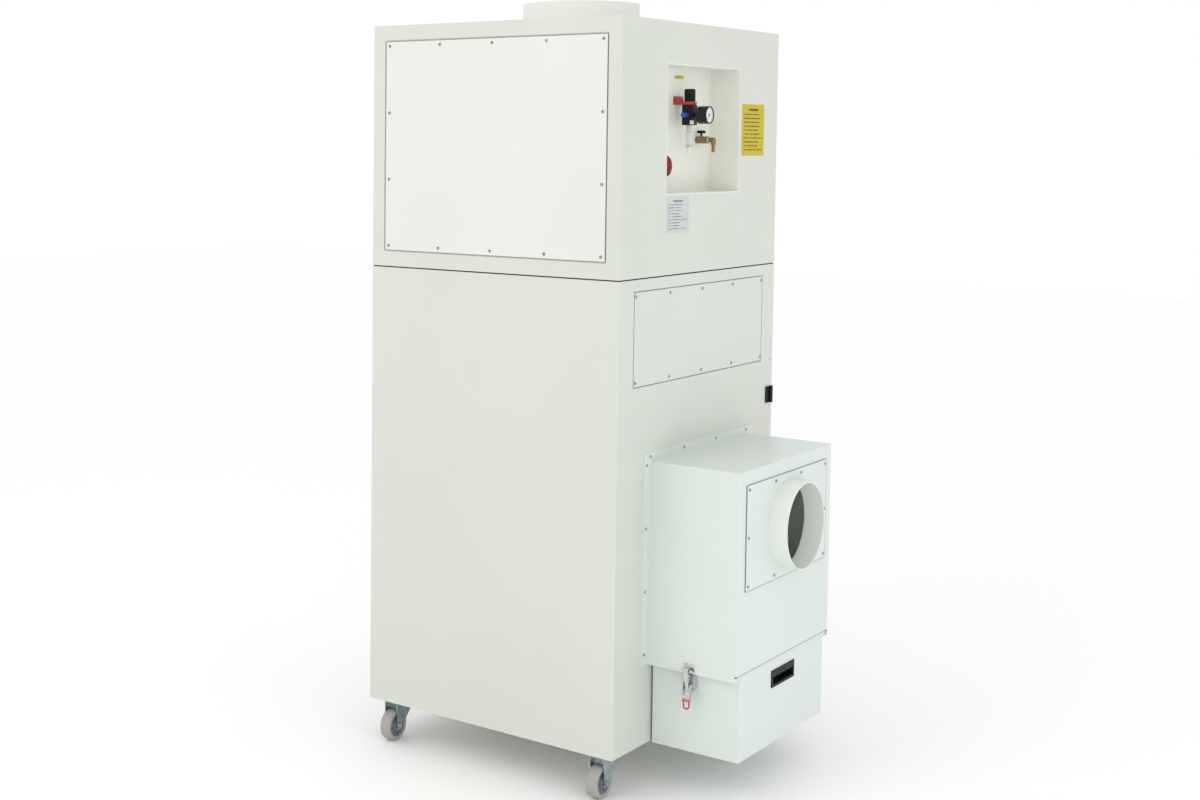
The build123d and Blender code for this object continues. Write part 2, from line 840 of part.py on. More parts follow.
# Keepers: folded clips on the inlet box, with a raised lip that the hooks catch
with BuildPart() as latch_keepers:
    for side in (-1, 1):
        keeper_span = (-keeper_width / 2, keeper_width / 2)
        ledge_z = base_z + keeper_ledge_z
        latch_block(
            side, keeper_span, (0, keeper_sheet), (ledge_z - keeper_sheet, base_z + keeper_plate_top)
        )
        latch_block(side, keeper_span, (0, keeper_lip_out), (ledge_z - keeper_sheet, ledge_z))
        latch_block(
            side, keeper_span, (keeper_lip_out - keeper_sheet, keeper_lip_out), (ledge_z, lip_z)
        )
latch_keepers.part.label = "latch_keepers"
export_step(latch_keepers.part, "parts/latch_keepers.step")

# Bases: a stand-off block on each side of the bin, with two ears and the lever's pivot stubs
base_out = box_half - bin_half
with BuildPart() as latch_bases:
    for side in (-1, 1):
        base_high = base_z + box_bottom - 2 * touch_gap - latch_base_thickness
        base_low = base_high - latch_base_height - latch_base_thickness
        latch_block(side, (-ear_outside, ear_outside), (-base_out, -touch_gap), (base_low, base_high))
        for end in (-1, 1):
            ear = sorted((end * ear_outside, end * (ear_outside - latch_plate)))
            latch_block(
                side, ear, (-touch_gap, latch_pivot_out + 4), (pivot_z - 5, pivot_z + 5)
            )
            stub = sorted((end * (ear_outside - latch_plate), end * ear_inside))
            latch_pin(side, latch_pivot_out, pivot_z, stub, latch_pin_radius)
latch_bases.part.label = "latch_bases"
export_step(latch_bases.part, "parts/latch_bases.step")

# Levers: two side plates joined by a bridge, with a bent wire grip hanging from them
for number, side in ((1, 1), (2, -1)):
    plate_out = ear_outside - latch_plate - touch_gap
    with BuildPart() as latch_lever:
        for end in (-1, 1):
            plate = sorted((end * plate_out, end * (plate_out - latch_plate)))
            latch_profile(
                side,
                (
                    (latch_pivot_out - 3.5, pivot_z + 4),
                    (latch_pivot_out + 4, pivot_z + 4),
                    (latch_pivot_out + 6, pivot_z - 6),
                    (latch_pivot_out + 6, pivot_z - latch_lever_length + 6),
                    (latch_pivot_out + 1, pivot_z - latch_lever_length + 6),
                    (latch_pivot_out - 5.5, pivot_z - 14),
                ),
                plate,
            )
            latch_pin(
                side,
                latch_pivot_out,
                pivot_z,
                sorted((end * (plate_out + over), end * (plate_out - latch_plate - over))),
                latch_pin_radius + running_clearance,
                Mode.SUBTRACT,
            )
            # Stub that carries the hook
            latch_pin(
                side,
                crank_out,
                crank_z,
                sorted((end * (plate_out - latch_plate), end * (hook_width / 2 - 2))),
                latch_pin_radius,
            )
        latch_block(
            side,
            (-plate_out, plate_out),
            (latch_pivot_out + 6, latch_pivot_out + 6 + latch_plate),
            (pivot_z - latch_lever_length + 6, pivot_z - latch_bridge_drop),
        )
        grip_out = latch_pivot_out + 3.5
        grip_half = plate_out - latch_plate - latch_wire_radius / 2
        grip_top = pivot_z - latch_lever_length + 12
        grip_plane = Plane(
            origin=(centre_x + latch_x, centre_y + latch_y(side, grip_out), pivot_z),
            x_dir=(1, 0, 0),
            z_dir=(0, -1, 0),
        )
        with BuildLine(grip_plane) as grip_path:
            FilletPolyline(
                (-grip_half, grip_top - pivot_z),
                (-grip_half, -latch_wire_drop + latch_wire_radius),
                (grip_half, -latch_wire_drop + latch_wire_radius),
                (grip_half, grip_top - pivot_z),
                radius=grip_half * 0.8,
            )
        with BuildSketch(
            Plane(
                origin=(
                    centre_x + latch_x - grip_half,
                    centre_y + latch_y(side, grip_out),
                    grip_top,
                ),
                z_dir=(0, 0, -1),
            )
        ):
            Circle(latch_wire_radius)
        sweep(path=grip_path.line)
    latch_lever.part.label = f"latch_lever_{number}"
    export_step(latch_lever.part, f"parts/latch_lever_{number}.step")

# Hooks: a flat link from the lever's stubs up and over the keeper's lip
for number, side in ((1, 1), (2, -1)):
    hook_over = lip_z + touch_gap
    hook_out = keeper_lip_out + 2.0
    hook_in = keeper_lip_out - keeper_sheet - 2.6
    span = (-hook_width / 2, hook_width / 2)
    with BuildPart() as latch_hook:
        latch_profile(
            side,
            (
                (crank_out - 2, crank_z),
                (crank_out + 2.5, crank_z),
                (hook_out + hook_thickness, base_z + keeper_ledge_z - 12),
                (hook_out + hook_thickness, hook_over + hook_thickness),
                (hook_in - hook_thickness, hook_over + hook_thickness),
                (hook_in - hook_thickness, lip_z - 3),
                (hook_in, lip_z - 3),
                (hook_in, hook_over),
                (hook_out, hook_over),
                (hook_out, base_z + keeper_ledge_z - 10),
            ),
            span,
        )
        latch_pin(side, crank_out, crank_z, span, hook_pivot_radius)
        latch_pin(
            side,
            crank_out,
            crank_z,
            (span[0] - over, span[1] + over),
            latch_pin_radius + running_clearance,
            Mode.SUBTRACT,
        )
    latch_hook.part.label = f"latch_hook_{number}"
    export_step(latch_hook.part, f"parts/latch_hook_{number}.step")

# ---- Castors. Places of the four swivel axes, in the order near inlet, far inlet, and the plain side
caster_spots = [
    (x * (half_w - caster_inset_x), y * (half_d - caster_inset_y)) for x in (-1, 1) for y in (1, -1)
]
plate_low = base_z - caster_plate_thickness
race_low = plate_low - race_height
crown_top = race_low - touch_gap
crown_low = crown_top - fork_sheet
axle_z = wheel_radius
with BuildPart() as caster_plates:
    for x, y in caster_spots:
        with BuildSketch(level(plate_low, x, y)):
            RectangleRounded(caster_plate_x, caster_plate_y, corner_radius)
        extrude(amount=caster_plate_thickness)
        with BuildSketch(level(race_low, x, y)):
            Circle(race_radius)
        extrude(amount=race_height)
        with BuildSketch(level(race_low, x, y)):
            Circle(kingpin_radius + running_clearance)
        extrude(amount=kingpin_rise + touch_gap, mode=Mode.SUBTRACT)
        with BuildSketch(level(plate_low - caster_bolt_head, x, y)):
            with GridLocations(caster_bolt_x, caster_bolt_y, 2, 2):
                RegularPolygon(caster_bolt_radius, 6)
        extrude(amount=caster_bolt_head)
caster_plates.part.label = "caster_plates"
export_step(caster_plates.part, "parts/caster_plates.step")

leg_inside = wheel_width / 2 + wheel_side_gap
leg_outside = leg_inside + fork_sheet
for number, (x, y) in enumerate(caster_spots, start=1):
    with BuildPart() as caster_fork:
        # Kingpin and crown
        with BuildSketch(level(crown_low, x, y)):
            with BuildLine():
                Polyline(
                    (-leg_outside, -fork_leg_front),
                    (leg_outside, -fork_leg_front),
                    (leg_outside, wheel_trail + fork_leg_end_radius),
                    (-leg_outside, wheel_trail + fork_leg_end_radius),
                    close=True,
                )
            make_face()
        extrude(amount=fork_sheet)
        with BuildSketch(level(crown_top, x, y)):
            Circle(kingpin_radius)
        extrude(amount=kingpin_rise)
        # Two legs, wide at the crown and round at the axle
        for end in (-1, 1):
            inner = x + end * leg_inside
            outer = x + end * leg_outside
            with BuildSketch(cross_plane(min(inner, outer), y)):
                with BuildLine():
                    Polyline(
                        (wheel_trail + fork_leg_end_radius, crown_low),
                        (wheel_trail + fork_leg_end_radius, axle_z),
                        (wheel_trail - fork_leg_end_radius * 0.7, axle_z - fork_leg_end_radius * 0.7),
                        (-fork_leg_front, crown_low - fork_shoulder_drop),
                        (-fork_leg_front, crown_low),
                        close=True,
                    )
                make_face()
                with Locations((wheel_trail, axle_z)):
                    Circle(fork_leg_end_radius)
            extrude(amount=fork_sheet)
        # Axle bolt with its head and nut
        with BuildSketch(cross_plane(x - leg_outside, y)):
            with Locations((wheel_trail, axle_z)):
                Circle(axle_radius)
        extrude(amount=2 * leg_outside)
        for end in (-1, 1):
            with BuildSketch(cross_plane(x + min(end * leg_outside, end * (leg_outside + axle_head)), y)):
                with Locations((wheel_trail, axle_z)):
                    RegularPolygon(axle_head_radius, 6)
            extrude(amount=axle_head)
    caster_fork.part.label = f"caster_fork_{number}"
    export_step(caster_fork.part, f"parts/caster_fork_{number}.step")

    with BuildPart() as caster_wheel:
        with BuildSketch(level(axle_z, x, y + wheel_trail)) as wheel_profile:
            with BuildLine():
                Polyline(
                    (wheel_width / 2, 0),
                    (wheel_width / 2, axle_radius + 8),
                    (wheel_width / 2 - 5, axle_radius + 10),
                    (wheel_width / 2 - 5, hub_radius - 3),
                    (wheel_width / 2 - 2, hub_radius),
                    (-wheel_width / 2 + 2, hub_radius),
                    (-wheel_width / 2 + 5, hub_radius - 3),
                    (-wheel_width / 2 + 5, axle_radius + 10),
                    (-wheel_width / 2, axle_radius + 8),
                    (-wheel_width / 2, 0),
                    close=True,
                )
            make_face()
        wheel_axis = Axis((centre_x + x, centre_y + y + wheel_trail, axle_z), (1, 0, 0))
        revolve(axis=wheel_axis)
        with BuildSketch(cross_plane(x - wheel_width, y + wheel_trail, axle_z)):
            Circle(axle_radius + running_clearance)
        extrude(amount=2 * wheel_width, mode=Mode.SUBTRACT)
        # The tyre is a solid of its own on the hub
        with BuildSketch(level(axle_z, x, y + wheel_trail)):
            with BuildLine():
                Polyline(
                    (wheel_width / 2 - 2, hub_radius + running_clearance),
                    (wheel_width / 2, hub_radius + 3),
                    (wheel_width / 2 - tyre_crown / 2, wheel_radius - 2),
                    (wheel_width / 2 - tyre_crown, wheel_radius),
                    (-wheel_width / 2 + tyre_crown, wheel_radius),
                    (-wheel_width / 2 + tyre_crown / 2, wheel_radius - 2),
                    (-wheel_width / 2, hub_radius + 3),
                    (-wheel_width / 2 + 2, hub_radius + running_clearance),
                    close=True,
                )
            make_face()
        revolve(axis=wheel_axis)
    caster_wheel.part.label = f"caster_wheel_{number}"
    export_step(caster_wheel.part, f"parts/caster_wheel_{number}.step")

# ---- Front door: a folded pan with a foam seal, hung on three lift-off hinges
door_low = base_z + door_gap
door_high = base_z + door_top
with BuildPart() as front_door:
    block((-half_w, half_w), (-half_d, door_back), (door_low, door_high))
    fillet(front_door.edges().filter_by(Axis.Z).group_by(Axis.Y)[0], corner_radius)
    block(
        (-half_w + sheet, half_w - sheet),
        (-half_d + sheet, door_back + over),
        (door_low + sheet, door_high - sheet),
        Mode.SUBTRACT,
    )
    with BuildSketch(front_plane(over)):
        with Locations(*knob_spots):
            Circle(knob_stud_radius + running_clearance)
    extrude(amount=-(sheet + 2 * over), mode=Mode.SUBTRACT)
front_door.part.label = "front_door"
export_step(front_door.part, "parts/front_door.step")

with BuildPart() as door_seal:
    seal_outer = half_w - seal_set_in
    seal_inner = seal_outer - seal_width
    block(
        (-seal_outer, seal_outer),
        (-half_d + sheet, door_back),
        (door_low + seal_set_in, door_high - seal_set_in),
    )
    block(
        (-seal_inner, seal_inner),
        (-half_d, door_back + over),
        (door_low + seal_set_in + seal_width, door_high - seal_set_in - seal_width),
        Mode.SUBTRACT,
    )
door_seal.part.label = "door_seal"
export_step(door_seal.part, "parts/door_seal.step")

# Hinges: the lower half of each barrel and its pin belong to the cabinet, the upper half to the door
hinge_x = -half_w - hinge_stand_off
hinge_clear = hinge_barrel_radius + over
leaf_x = (-half_w - hinge_leaf_thickness, -half_w)


def hinge_barrel(low, high, radius, mode=Mode.ADD):
    """Upright round bar on the hinge axis."""
    with BuildSketch(level(low, hinge_x, door_back)) as section:
        Circle(radius)
    extrude(section.sketch, amount=high - low, mode=mode)


with BuildPart() as hinge_leaves:
    for height in hinge_levels:
        low = base_z + height - hinge_height / 2
        middle = base_z + height
        high = base_z + height + hinge_height / 2
        block(leaf_x, (door_back + hinge_clear, door_back + hinge_leaf_width), (low, high))
        block(leaf_x, (door_back + touch_gap, door_back + hinge_leaf_width), (low, middle))
        hinge_barrel(low, middle, hinge_barrel_radius)
        hinge_barrel(middle, high - over, hinge_pin_radius)
hinge_leaves.part.label = "hinge_leaves"
export_step(hinge_leaves.part, "parts/hinge_leaves.step")

with BuildPart() as hinge_knuckles:
    for height in hinge_levels:
        low = base_z + height - hinge_height / 2
        middle = base_z + height + touch_gap
        high = base_z + height + hinge_height / 2
        block(leaf_x, (-half_d + over, door_back - hinge_clear), (low, high))
        block(leaf_x, (-half_d + over, door_back - touch_gap), (middle, high))
        hinge_barrel(middle, high, hinge_barrel_radius)
        bore_radius = hinge_pin_radius + running_clearance
        hinge_barrel(middle - over, high - over + touch_gap, bore_radius, Mode.SUBTRACT)
hinge_knuckles.part.label = "hinge_knuckles"
export_step(hinge_knuckles.part, "parts/hinge_knuckles.step")

# Star knobs: each has a stud that reaches through the door into the frame
for number, (x, z) in enumerate(knob_spots, start=1):
    stud_reach = door_depth + touch_gap + knob_stud_reach
    with BuildPart() as door_knob:
        with BuildSketch(front_plane(touch_gap)):
            with Locations((x, z)):
                Circle(knob_boss_radius)
        extrude(amount=knob_boss_length)
        with BuildSketch(front_plane(touch_gap + knob_boss_length)):
            with Locations((x, z)):
                Circle(knob_core_radius)
                with PolarLocations(knob_lobe_ring, knob_lobes):
                    Circle(knob_lobe_radius)
        extrude(amount=knob_thickness)
        fillet(door_knob.edges().filter_by(Axis.Y, reverse=True).group_by(Axis.Y)[0], 2.0)
        with BuildSketch(front_plane(touch_gap)):
            with Locations((x, z)):
                Circle(knob_stud_radius)
        extrude(amount=-(touch_gap + stud_reach))
    door_knob.part.label = f"door_knob_{number}"
    export_step(door_knob.part, f"parts/door_knob_{number}.step")

# ---- Service niche: a welded box behind its opening in the inlet side
niche_y = (niche_offset_y - niche_width / 2, niche_offset_y + niche_width / 2)
niche_z = (base_z + niche_bottom, base_z + niche_bottom + niche_height)
wall_x = -half_w + niche_depth
with BuildPart() as service_niche:
    block(
        (-half_w, wall_x + sheet),
        (niche_y[0] - sheet, niche_y[1] + sheet),
        (niche_z[0] - sheet, niche_z[1] + sheet),
    )
    block((-half_w - over, wall_x), niche_y, niche_z, Mode.SUBTRACT)
service_niche.part.label = "service_niche"
export_step(service_niche.part, "parts/service_niche.step")

# ---- Filter regulator on its bracket
regulator_x = wall_x - regulator_set_off
regulator_low = base_z + regulator_bottom
regulator_high = base_z + regulator_top
arm_top = regulator_high + bracket_sheet
ring_top = arm_top + ring_height
with BuildPart() as regulator_body:
    with BuildSketch(level(regulator_low, regulator_x, regulator_y)):
        RectangleRounded(regulator_size, regulator_size, corner_radius)
    extrude(amount=regulator_high - regulator_low)
    chamfer(regulator_body.edges().group_by(Axis.Z)[-1], 1.5)
    with BuildSketch(level(regulator_high, regulator_x, regulator_y)):
        Circle(reg_neck_radius)
    extrude(amount=ring_top - regulator_high + ring_height)
regulator_body.part.label = "regulator_body"
export_step(regulator_body.part, "parts/regulator_body.step")

with BuildPart() as regulator_bracket:
    half_arm = regulator_size / 2
    block(
        (regulator_x - half_arm * 0.7, wall_x),
        (regulator_y - half_arm, regulator_y + half_arm),
        (regulator_high, arm_top),
    )
    block(
        (wall_x - bracket_sheet, wall_x),
        (regulator_y - bracket_width / 2, regulator_y + bracket_width / 2),
        (regulator_high, regulator_high + bracket_height),
    )
    with BuildSketch(level(regulator_high, regulator_x, regulator_y)):
        Circle(reg_neck_radius + running_clearance)
    extrude(amount=bracket_sheet, mode=Mode.SUBTRACT)
regulator_bracket.part.label = "regulator_bracket"
export_step(regulator_bracket.part, "parts/regulator_bracket.step")

with BuildPart() as regulator_ring:
    with BuildSketch(level(arm_top, regulator_x, regulator_y)):
        Circle(ring_radius)
        Circle(reg_neck_radius + running_clearance, mode=Mode.SUBTRACT)
    extrude(amount=ring_height)
    chamfer(regulator_ring.edges().filter_by(GeomType.CIRCLE).group_by(SortBy.RADIUS)[-1], 1.0)
regulator_ring.part.label = "regulator_ring"
export_step(regulator_ring.part, "parts/regulator_ring.step")

with BuildPart() as regulator_knob:
    with BuildSketch(level(ring_top + touch_gap, regulator_x, regulator_y)):
        Circle(reg_knob_radius)
    extrude(amount=reg_knob_height)
    chamfer(regulator_knob.edges().group_by(Axis.Z)[-1], 2.0)
    with BuildSketch(level(ring_top + touch_gap, regulator_x, regulator_y)):
        with PolarLocations(reg_knob_radius, reg_knob_ribs):
            Circle(reg_knob_rib_depth)
    extrude(amount=reg_knob_height * 0.75, mode=Mode.SUBTRACT)
    with BuildSketch(level(ring_top, regulator_x, regulator_y)):
        Circle(reg_neck_radius + running_clearance)
    extrude(amount=ring_height + 2 * touch_gap, mode=Mode.SUBTRACT)
regulator_knob.part.label = "regulator_knob"
export_step(regulator_knob.part, "parts/regulator_knob.step")

# Clear bowl with its collar above and its drain below
bowl_collar_low = regulator_low - bowl_collar_height
bowl_low = regulator_low - bowl_length
with BuildPart() as filter_bowl:
    with BuildSketch(level(bowl_collar_low, regulator_x, regulator_y)):
        Circle(bowl_collar_radius)
    extrude(amount=bowl_collar_height)
    with BuildSketch(level(bowl_low, regulator_x, regulator_y)):
        Circle(bowl_radius)
    extrude(amount=bowl_collar_low - bowl_low)
    fillet(filter_bowl.edges().group_by(Axis.Z)[0], bowl_radius * 0.4)
    with BuildSketch(level(bowl_low + bowl_wall, regulator_x, regulator_y)):
        Circle(bowl_collar_radius - bowl_wall)
    extrude(amount=bowl_length, mode=Mode.SUBTRACT)
    with BuildSketch(level(bowl_low - drain_ring_height, regulator_x, regulator_y)):
        Circle(drain_ring_radius)
    extrude(amount=drain_ring_height)
    with BuildSketch(level(bowl_low - drain_length, regulator_x, regulator_y)):
        Circle(drain_radius)
    extrude(amount=drain_length)
filter_bowl.part.label = "filter_bowl"
export_step(filter_bowl.part, "parts/filter_bowl.step")

# Pressure gauge, facing out of the niche, and its needle
gauge_z = base_z + gauge_level
gauge_back = regulator_x - regulator_size / 2 - gauge_stem_length
gauge_front = gauge_back - gauge_depth
dial_x = gauge_front + gauge_well
with BuildPart() as pressure_gauge:
    with BuildSketch(cross_plane(gauge_back, regulator_y, gauge_z)):
        Circle(gauge_stem_radius)
    extrude(amount=gauge_stem_length)
    with BuildSketch(cross_plane(gauge_front, regulator_y, gauge_z)):
        Circle(gauge_radius)
    extrude(amount=gauge_depth)
    fillet(pressure_gauge.edges().filter_by(GeomType.CIRCLE).group_by(Axis.X)[0], 1.2)
    with BuildSketch(cross_plane(gauge_front, regulator_y, gauge_z)):
        Circle(gauge_radius - gauge_rim)
    extrude(amount=gauge_well, mode=Mode.SUBTRACT)
pressure_gauge.part.label = "pressure_gauge"
export_step(pressure_gauge.part, "parts/pressure_gauge.step")

with BuildPart() as gauge_needle:
    with BuildSketch(cross_plane(dial_x - touch_gap - needle_thickness, regulator_y, gauge_z)):
        Circle(needle_hub_radius)
        with PolarLocations(needle_length / 2, 1, start_angle=needle_zero_angle):
            Rectangle(needle_length, needle_width)
    extrude(amount=needle_thickness)
gauge_needle.part.label = "gauge_needle"
export_step(gauge_needle.part, "parts/gauge_needle.step")

# Push-in tube fitting on the regulator's rear side
with BuildPart() as push_fitting:
    fitting_y = regulator_y + regulator_size / 2
    with BuildSketch(Plane(origin=(centre_x + regulator_x, centre_y + fitting_y, gauge_z), z_dir=(0, 1, 0))):
        RegularPolygon(fitting_radius, 6)
    extrude(amount=fitting_length * 0.45)
    with BuildSketch(Plane(origin=(centre_x + regulator_x, centre_y + fitting_y, gauge_z), z_dir=(0, 1, 0))):
        Circle(fitting_radius)
    extrude(amount=fitting_length)
    fillet(push_fitting.edges().group_by(Axis.Y)[-1], 1.0)
push_fitting.part.label = "push_fitting"
export_step(push_fitting.part, "parts/push_fitting.step")

# ---- Air inlet: ball valve out of the niche wall, with an elbow and a downward hose stub
valve_z = base_z + valve_level
body_out = valve_nut_length + valve_body_length
ring_out = body_out + valve_ring_length
with BuildPart() as ball_valve:
    with BuildSketch(cross_plane(wall_x - valve_nut_length, valve_y, valve_z)):
        RegularPolygon(valve_nut_radius, 6)
    extrude(amount=valve_nut_length)
    with BuildSketch(cross_plane(wall_x - body_out, valve_y, valve_z)):
        Circle(valve_body_radius)
    extrude(amount=valve_body_length)
    with BuildSketch(cross_plane(wall_x - ring_out, valve_y, valve_z)):
        Circle(valve_ring_radius)
    extrude(amount=valve_ring_length)
    with BuildSketch(cross_plane(wall_x - valve_elbow_reach, valve_y, valve_z)):
        Circle(valve_elbow_radius)
    extrude(amount=valve_elbow_reach - ring_out)
    with Locations((centre_x + wall_x - valve_elbow_reach, centre_y + valve_y, valve_z)):
        Sphere(valve_elbow_radius)
    with BuildSketch(level(valve_z - valve_elbow_radius * 2, wall_x - valve_elbow_reach, valve_y)):
        Circle(valve_elbow_radius)
    extrude(amount=valve_elbow_radius * 2)
    barb_low = valve_z - valve_elbow_radius * 2 - barb_length
    with BuildSketch(level(barb_low, wall_x - valve_elbow_reach, valve_y)):
        Circle(barb_radius)
    extrude(amount=barb_length)
    # Bonnet with the bore that the lever's stem turns in
    stem_x = wall_x - valve_nut_length - valve_stem_set_off
    with BuildSketch(level(valve_z, stem_x, valve_y)):
        Circle(valve_stem_radius * 2)
    extrude(amount=valve_body_radius + 2)
    with BuildSketch(level(valve_z + valve_stem_radius, stem_x, valve_y)):
        Circle(valve_stem_radius + running_clearance)
    extrude(amount=valve_stem_height, mode=Mode.SUBTRACT)
ball_valve.part.label = "ball_valve"
export_step(ball_valve.part, "parts/ball_valve.step")

with BuildPart() as valve_lever:
    with BuildSketch(level(valve_z + valve_stem_radius + touch_gap, stem_x, valve_y)):
        Circle(valve_stem_radius)
    extrude(amount=valve_stem_height)
    with BuildSketch(level(valve_z + valve_stem_height, stem_x, valve_y)):
        SlotOverall(valve_lever_length, valve_lever_width)
    extrude(amount=valve_lever_thickness)
valve_lever.part.label = "valve_lever"
export_step(valve_lever.part, "parts/valve_lever.step")

# ---- Controls in the niche: stop mushroom, start button, pilot lamp and the cable gland
stop_bezel = stop_stand_off - stop_travel - touch_gap * 2
with BuildPart() as button_bezels:
    for control_level, bore, height in (
        (stop_level, stop_neck_radius, stop_bezel),
        (start_level, start_radius, bezel_height),
        (lamp_level, lamp_radius, bezel_height),
    ):
        with BuildSketch(cross_plane(wall_x - height, control_y, base_z + control_level)):
            Circle(bore + bezel_wall)
            Circle(bore + running_clearance, mode=Mode.SUBTRACT)
        extrude(amount=height)
button_bezels.part.label = "button_bezels"
export_step(button_bezels.part, "parts/button_bezels.step")

with BuildPart() as stop_button:
    stop_z = base_z + stop_level
    with BuildSketch(cross_plane(wall_x - stop_stand_off - stop_head, control_y, stop_z)):
        Circle(stop_radius)
    extrude(amount=stop_head)
    fillet(stop_button.edges().group_by(Axis.X)[0], stop_head * 0.45)
    with BuildSketch(cross_plane(wall_x - stop_stand_off, control_y, stop_z)):
        Circle(stop_neck_radius)
    extrude(amount=stop_stand_off - stop_travel - touch_gap)
stop_button.part.label = "stop_button"
export_step(stop_button.part, "parts/stop_button.step")

with BuildPart() as start_button:
    start_out = bezel_height + start_proud
    with BuildSketch(cross_plane(wall_x - start_out, control_y, base_z + start_level)):
        Circle(start_radius)
    extrude(amount=start_out - start_travel - touch_gap)
    fillet(start_button.edges().group_by(Axis.X)[0], 1.0)
start_button.part.label = "start_button"
export_step(start_button.part, "parts/start_button.step")

with BuildPart() as pilot_lamp:
    with BuildSketch(cross_plane(wall_x - lamp_proud, control_y, base_z + lamp_level)):
        Circle(lamp_radius)
    extrude(amount=lamp_proud)
    fillet(pilot_lamp.edges().group_by(Axis.X)[0], lamp_radius * 0.5)
pilot_lamp.part.label = "pilot_lamp"
export_step(pilot_lamp.part, "parts/pilot_lamp.step")

with BuildPart() as cable_gland:
    gland_z = base_z + gland_level
    with BuildSketch(cross_plane(wall_x - gland_length / 3, gland_y, gland_z)):
        RegularPolygon(gland_radius, 6)
    extrude(amount=gland_length / 3)
    with BuildSketch(cross_plane(wall_x - gland_length, gland_y, gland_z)):
        Circle(gland_radius * 0.85)
    extrude(amount=gland_length * 2 / 3)
    fillet(cable_gland.edges().group_by(Axis.X)[0], gland_radius * 0.3)
cable_gland.part.label = "cable_gland"
export_step(cable_gland.part, "parts/cable_gland.step")

# ---- Labels: two plates on the inlet side and a strip in the niche
with BuildPart() as labels:
    for out_x, middle_y, width, low, height in (
        (-half_w, warning_label_y, warning_label_width, warning_label_bottom, warning_label_height),
        (-half_w, rating_label_y, rating_label_width, rating_label_bottom, rating_label_height),
        (wall_x, air_label_y, air_label_width, air_label_bottom, air_label_height),
    ):
        block(
            (out_x - label_thickness, out_x),
            (middle_y - width / 2, middle_y + width / 2),
            (base_z + low, base_z + low + height),
        )
labels.part.label = "labels"
export_step(labels.part, "parts/labels.step")

# ---- Tube sheet that parts the filter chamber from the clean plenum, and its four cartridges
tube_sheet_z = base_z + tube_sheet_level
with BuildPart() as tube_sheet:
    block(
        (-half_w + sheet, half_w - sheet),
        (frame_inside, half_d - sheet),
        (tube_sheet_z, tube_sheet_z + tube_sheet_thickness),
    )
    fillet(tube_sheet.edges().filter_by(Axis.Z).group_by(Axis.Y)[-1], inner_corner)
    with BuildSketch(level(tube_sheet_z)):
        with GridLocations(cartridge_pitch_x, cartridge_pitch_y, 2, 2):
            Circle(cartridge_hole)
    extrude(amount=tube_sheet_thickness, mode=Mode.SUBTRACT)
tube_sheet.part.label = "tube_sheet"
export_step(tube_sheet.part, "parts/tube_sheet.step")

with BuildPart() as filter_cartridges:
    with BuildSketch(level(tube_sheet_z - cartridge_height)):
        with GridLocations(cartridge_pitch_x, cartridge_pitch_y, 2, 2):
            Circle(cartridge_radius)
    extrude(amount=cartridge_height)
    with BuildSketch(level(tube_sheet_z - cartridge_height + cartridge_cap)):
        with GridLocations(cartridge_pitch_x, cartridge_pitch_y, 2, 2):
            Circle(cartridge_bore)
    extrude(amount=cartridge_height, mode=Mode.SUBTRACT)
filter_cartridges.part.label = "filter_cartridges"
export_step(filter_cartridges.part, "parts/filter_cartridges.step")

# ---- Loose dust tray on the cabinet floor, lifted out through the front door
with BuildPart() as dust_tray:
    tray_low = base_z + base_thickness
    block(
        (-tray_width / 2, tray_width / 2),
        (-tray_length / 2, tray_length / 2),
        (tray_low, tray_low + tray_height),
    )
    block(
        (-tray_width / 2 + tray_sheet, tray_width / 2 - tray_sheet),
        (-tray_length / 2 + tray_sheet, tray_length / 2 - tray_sheet),
        (tray_low + tray_sheet, tray_low + tray_height + over),
        Mode.SUBTRACT,
    )
dust_tray.part.label = "dust_tray"
export_step(dust_tray.part, "parts/dust_tray.step")

# ---- Compressed air tank in the plenum, with a pulse valve and a blow pipe for each row of cartridges
with BuildPart() as pulse_tank:
    tank_z = base_z + tank_level
    tank_plane = Plane(
        origin=(centre_x + tank_x, centre_y - tank_length / 2, tank_z), x_dir=(1, 0, 0), z_dir=(0, 1, 0)
    )
    with BuildSketch(tank_plane):
        Circle(tank_radius)
    extrude(amount=tank_length)
    fillet(pulse_tank.edges().filter_by(GeomType.CIRCLE), tank_radius * 0.35)
    for row in (-1, 1):
        row_y = row * cartridge_pitch_y / 2
        with BuildSketch(level(tank_z + tank_radius * 0.8, tank_x, row_y)):
            Circle(pulse_valve_radius)
        extrude(amount=tank_radius * 0.2 + pulse_valve_height)
        with BuildSketch(cross_plane(tank_x, row_y, base_z + blow_pipe_level)):
            Circle(blow_pipe_radius)
        extrude(amount=blow_pipe_end_x - tank_x)
pulse_tank.part.label = "pulse_tank"
export_step(pulse_tank.part, "parts/pulse_tank.step")

# ---- Fan deck with its inlet ring
deck_low = upper_bottom + deck_lift
deck_high = deck_low + deck_thickness
with BuildPart() as fan_deck:
    with BuildSketch(level(deck_low)):
        RectangleRounded(cabinet_width - 2 * sheet, cabinet_depth - 2 * sheet, inner_corner)
    extrude(amount=deck_thickness)
    with BuildSketch(level(deck_high)):
        Circle(fan_inlet_radius)
    extrude(amount=fan_inlet_height)
    with BuildSketch(level(deck_low)):
        Circle(fan_inlet_radius - sheet)
    extrude(amount=deck_thickness + fan_inlet_height, mode=Mode.SUBTRACT)
fan_deck.part.label = "fan_deck"
export_step(fan_deck.part, "parts/fan_deck.step")

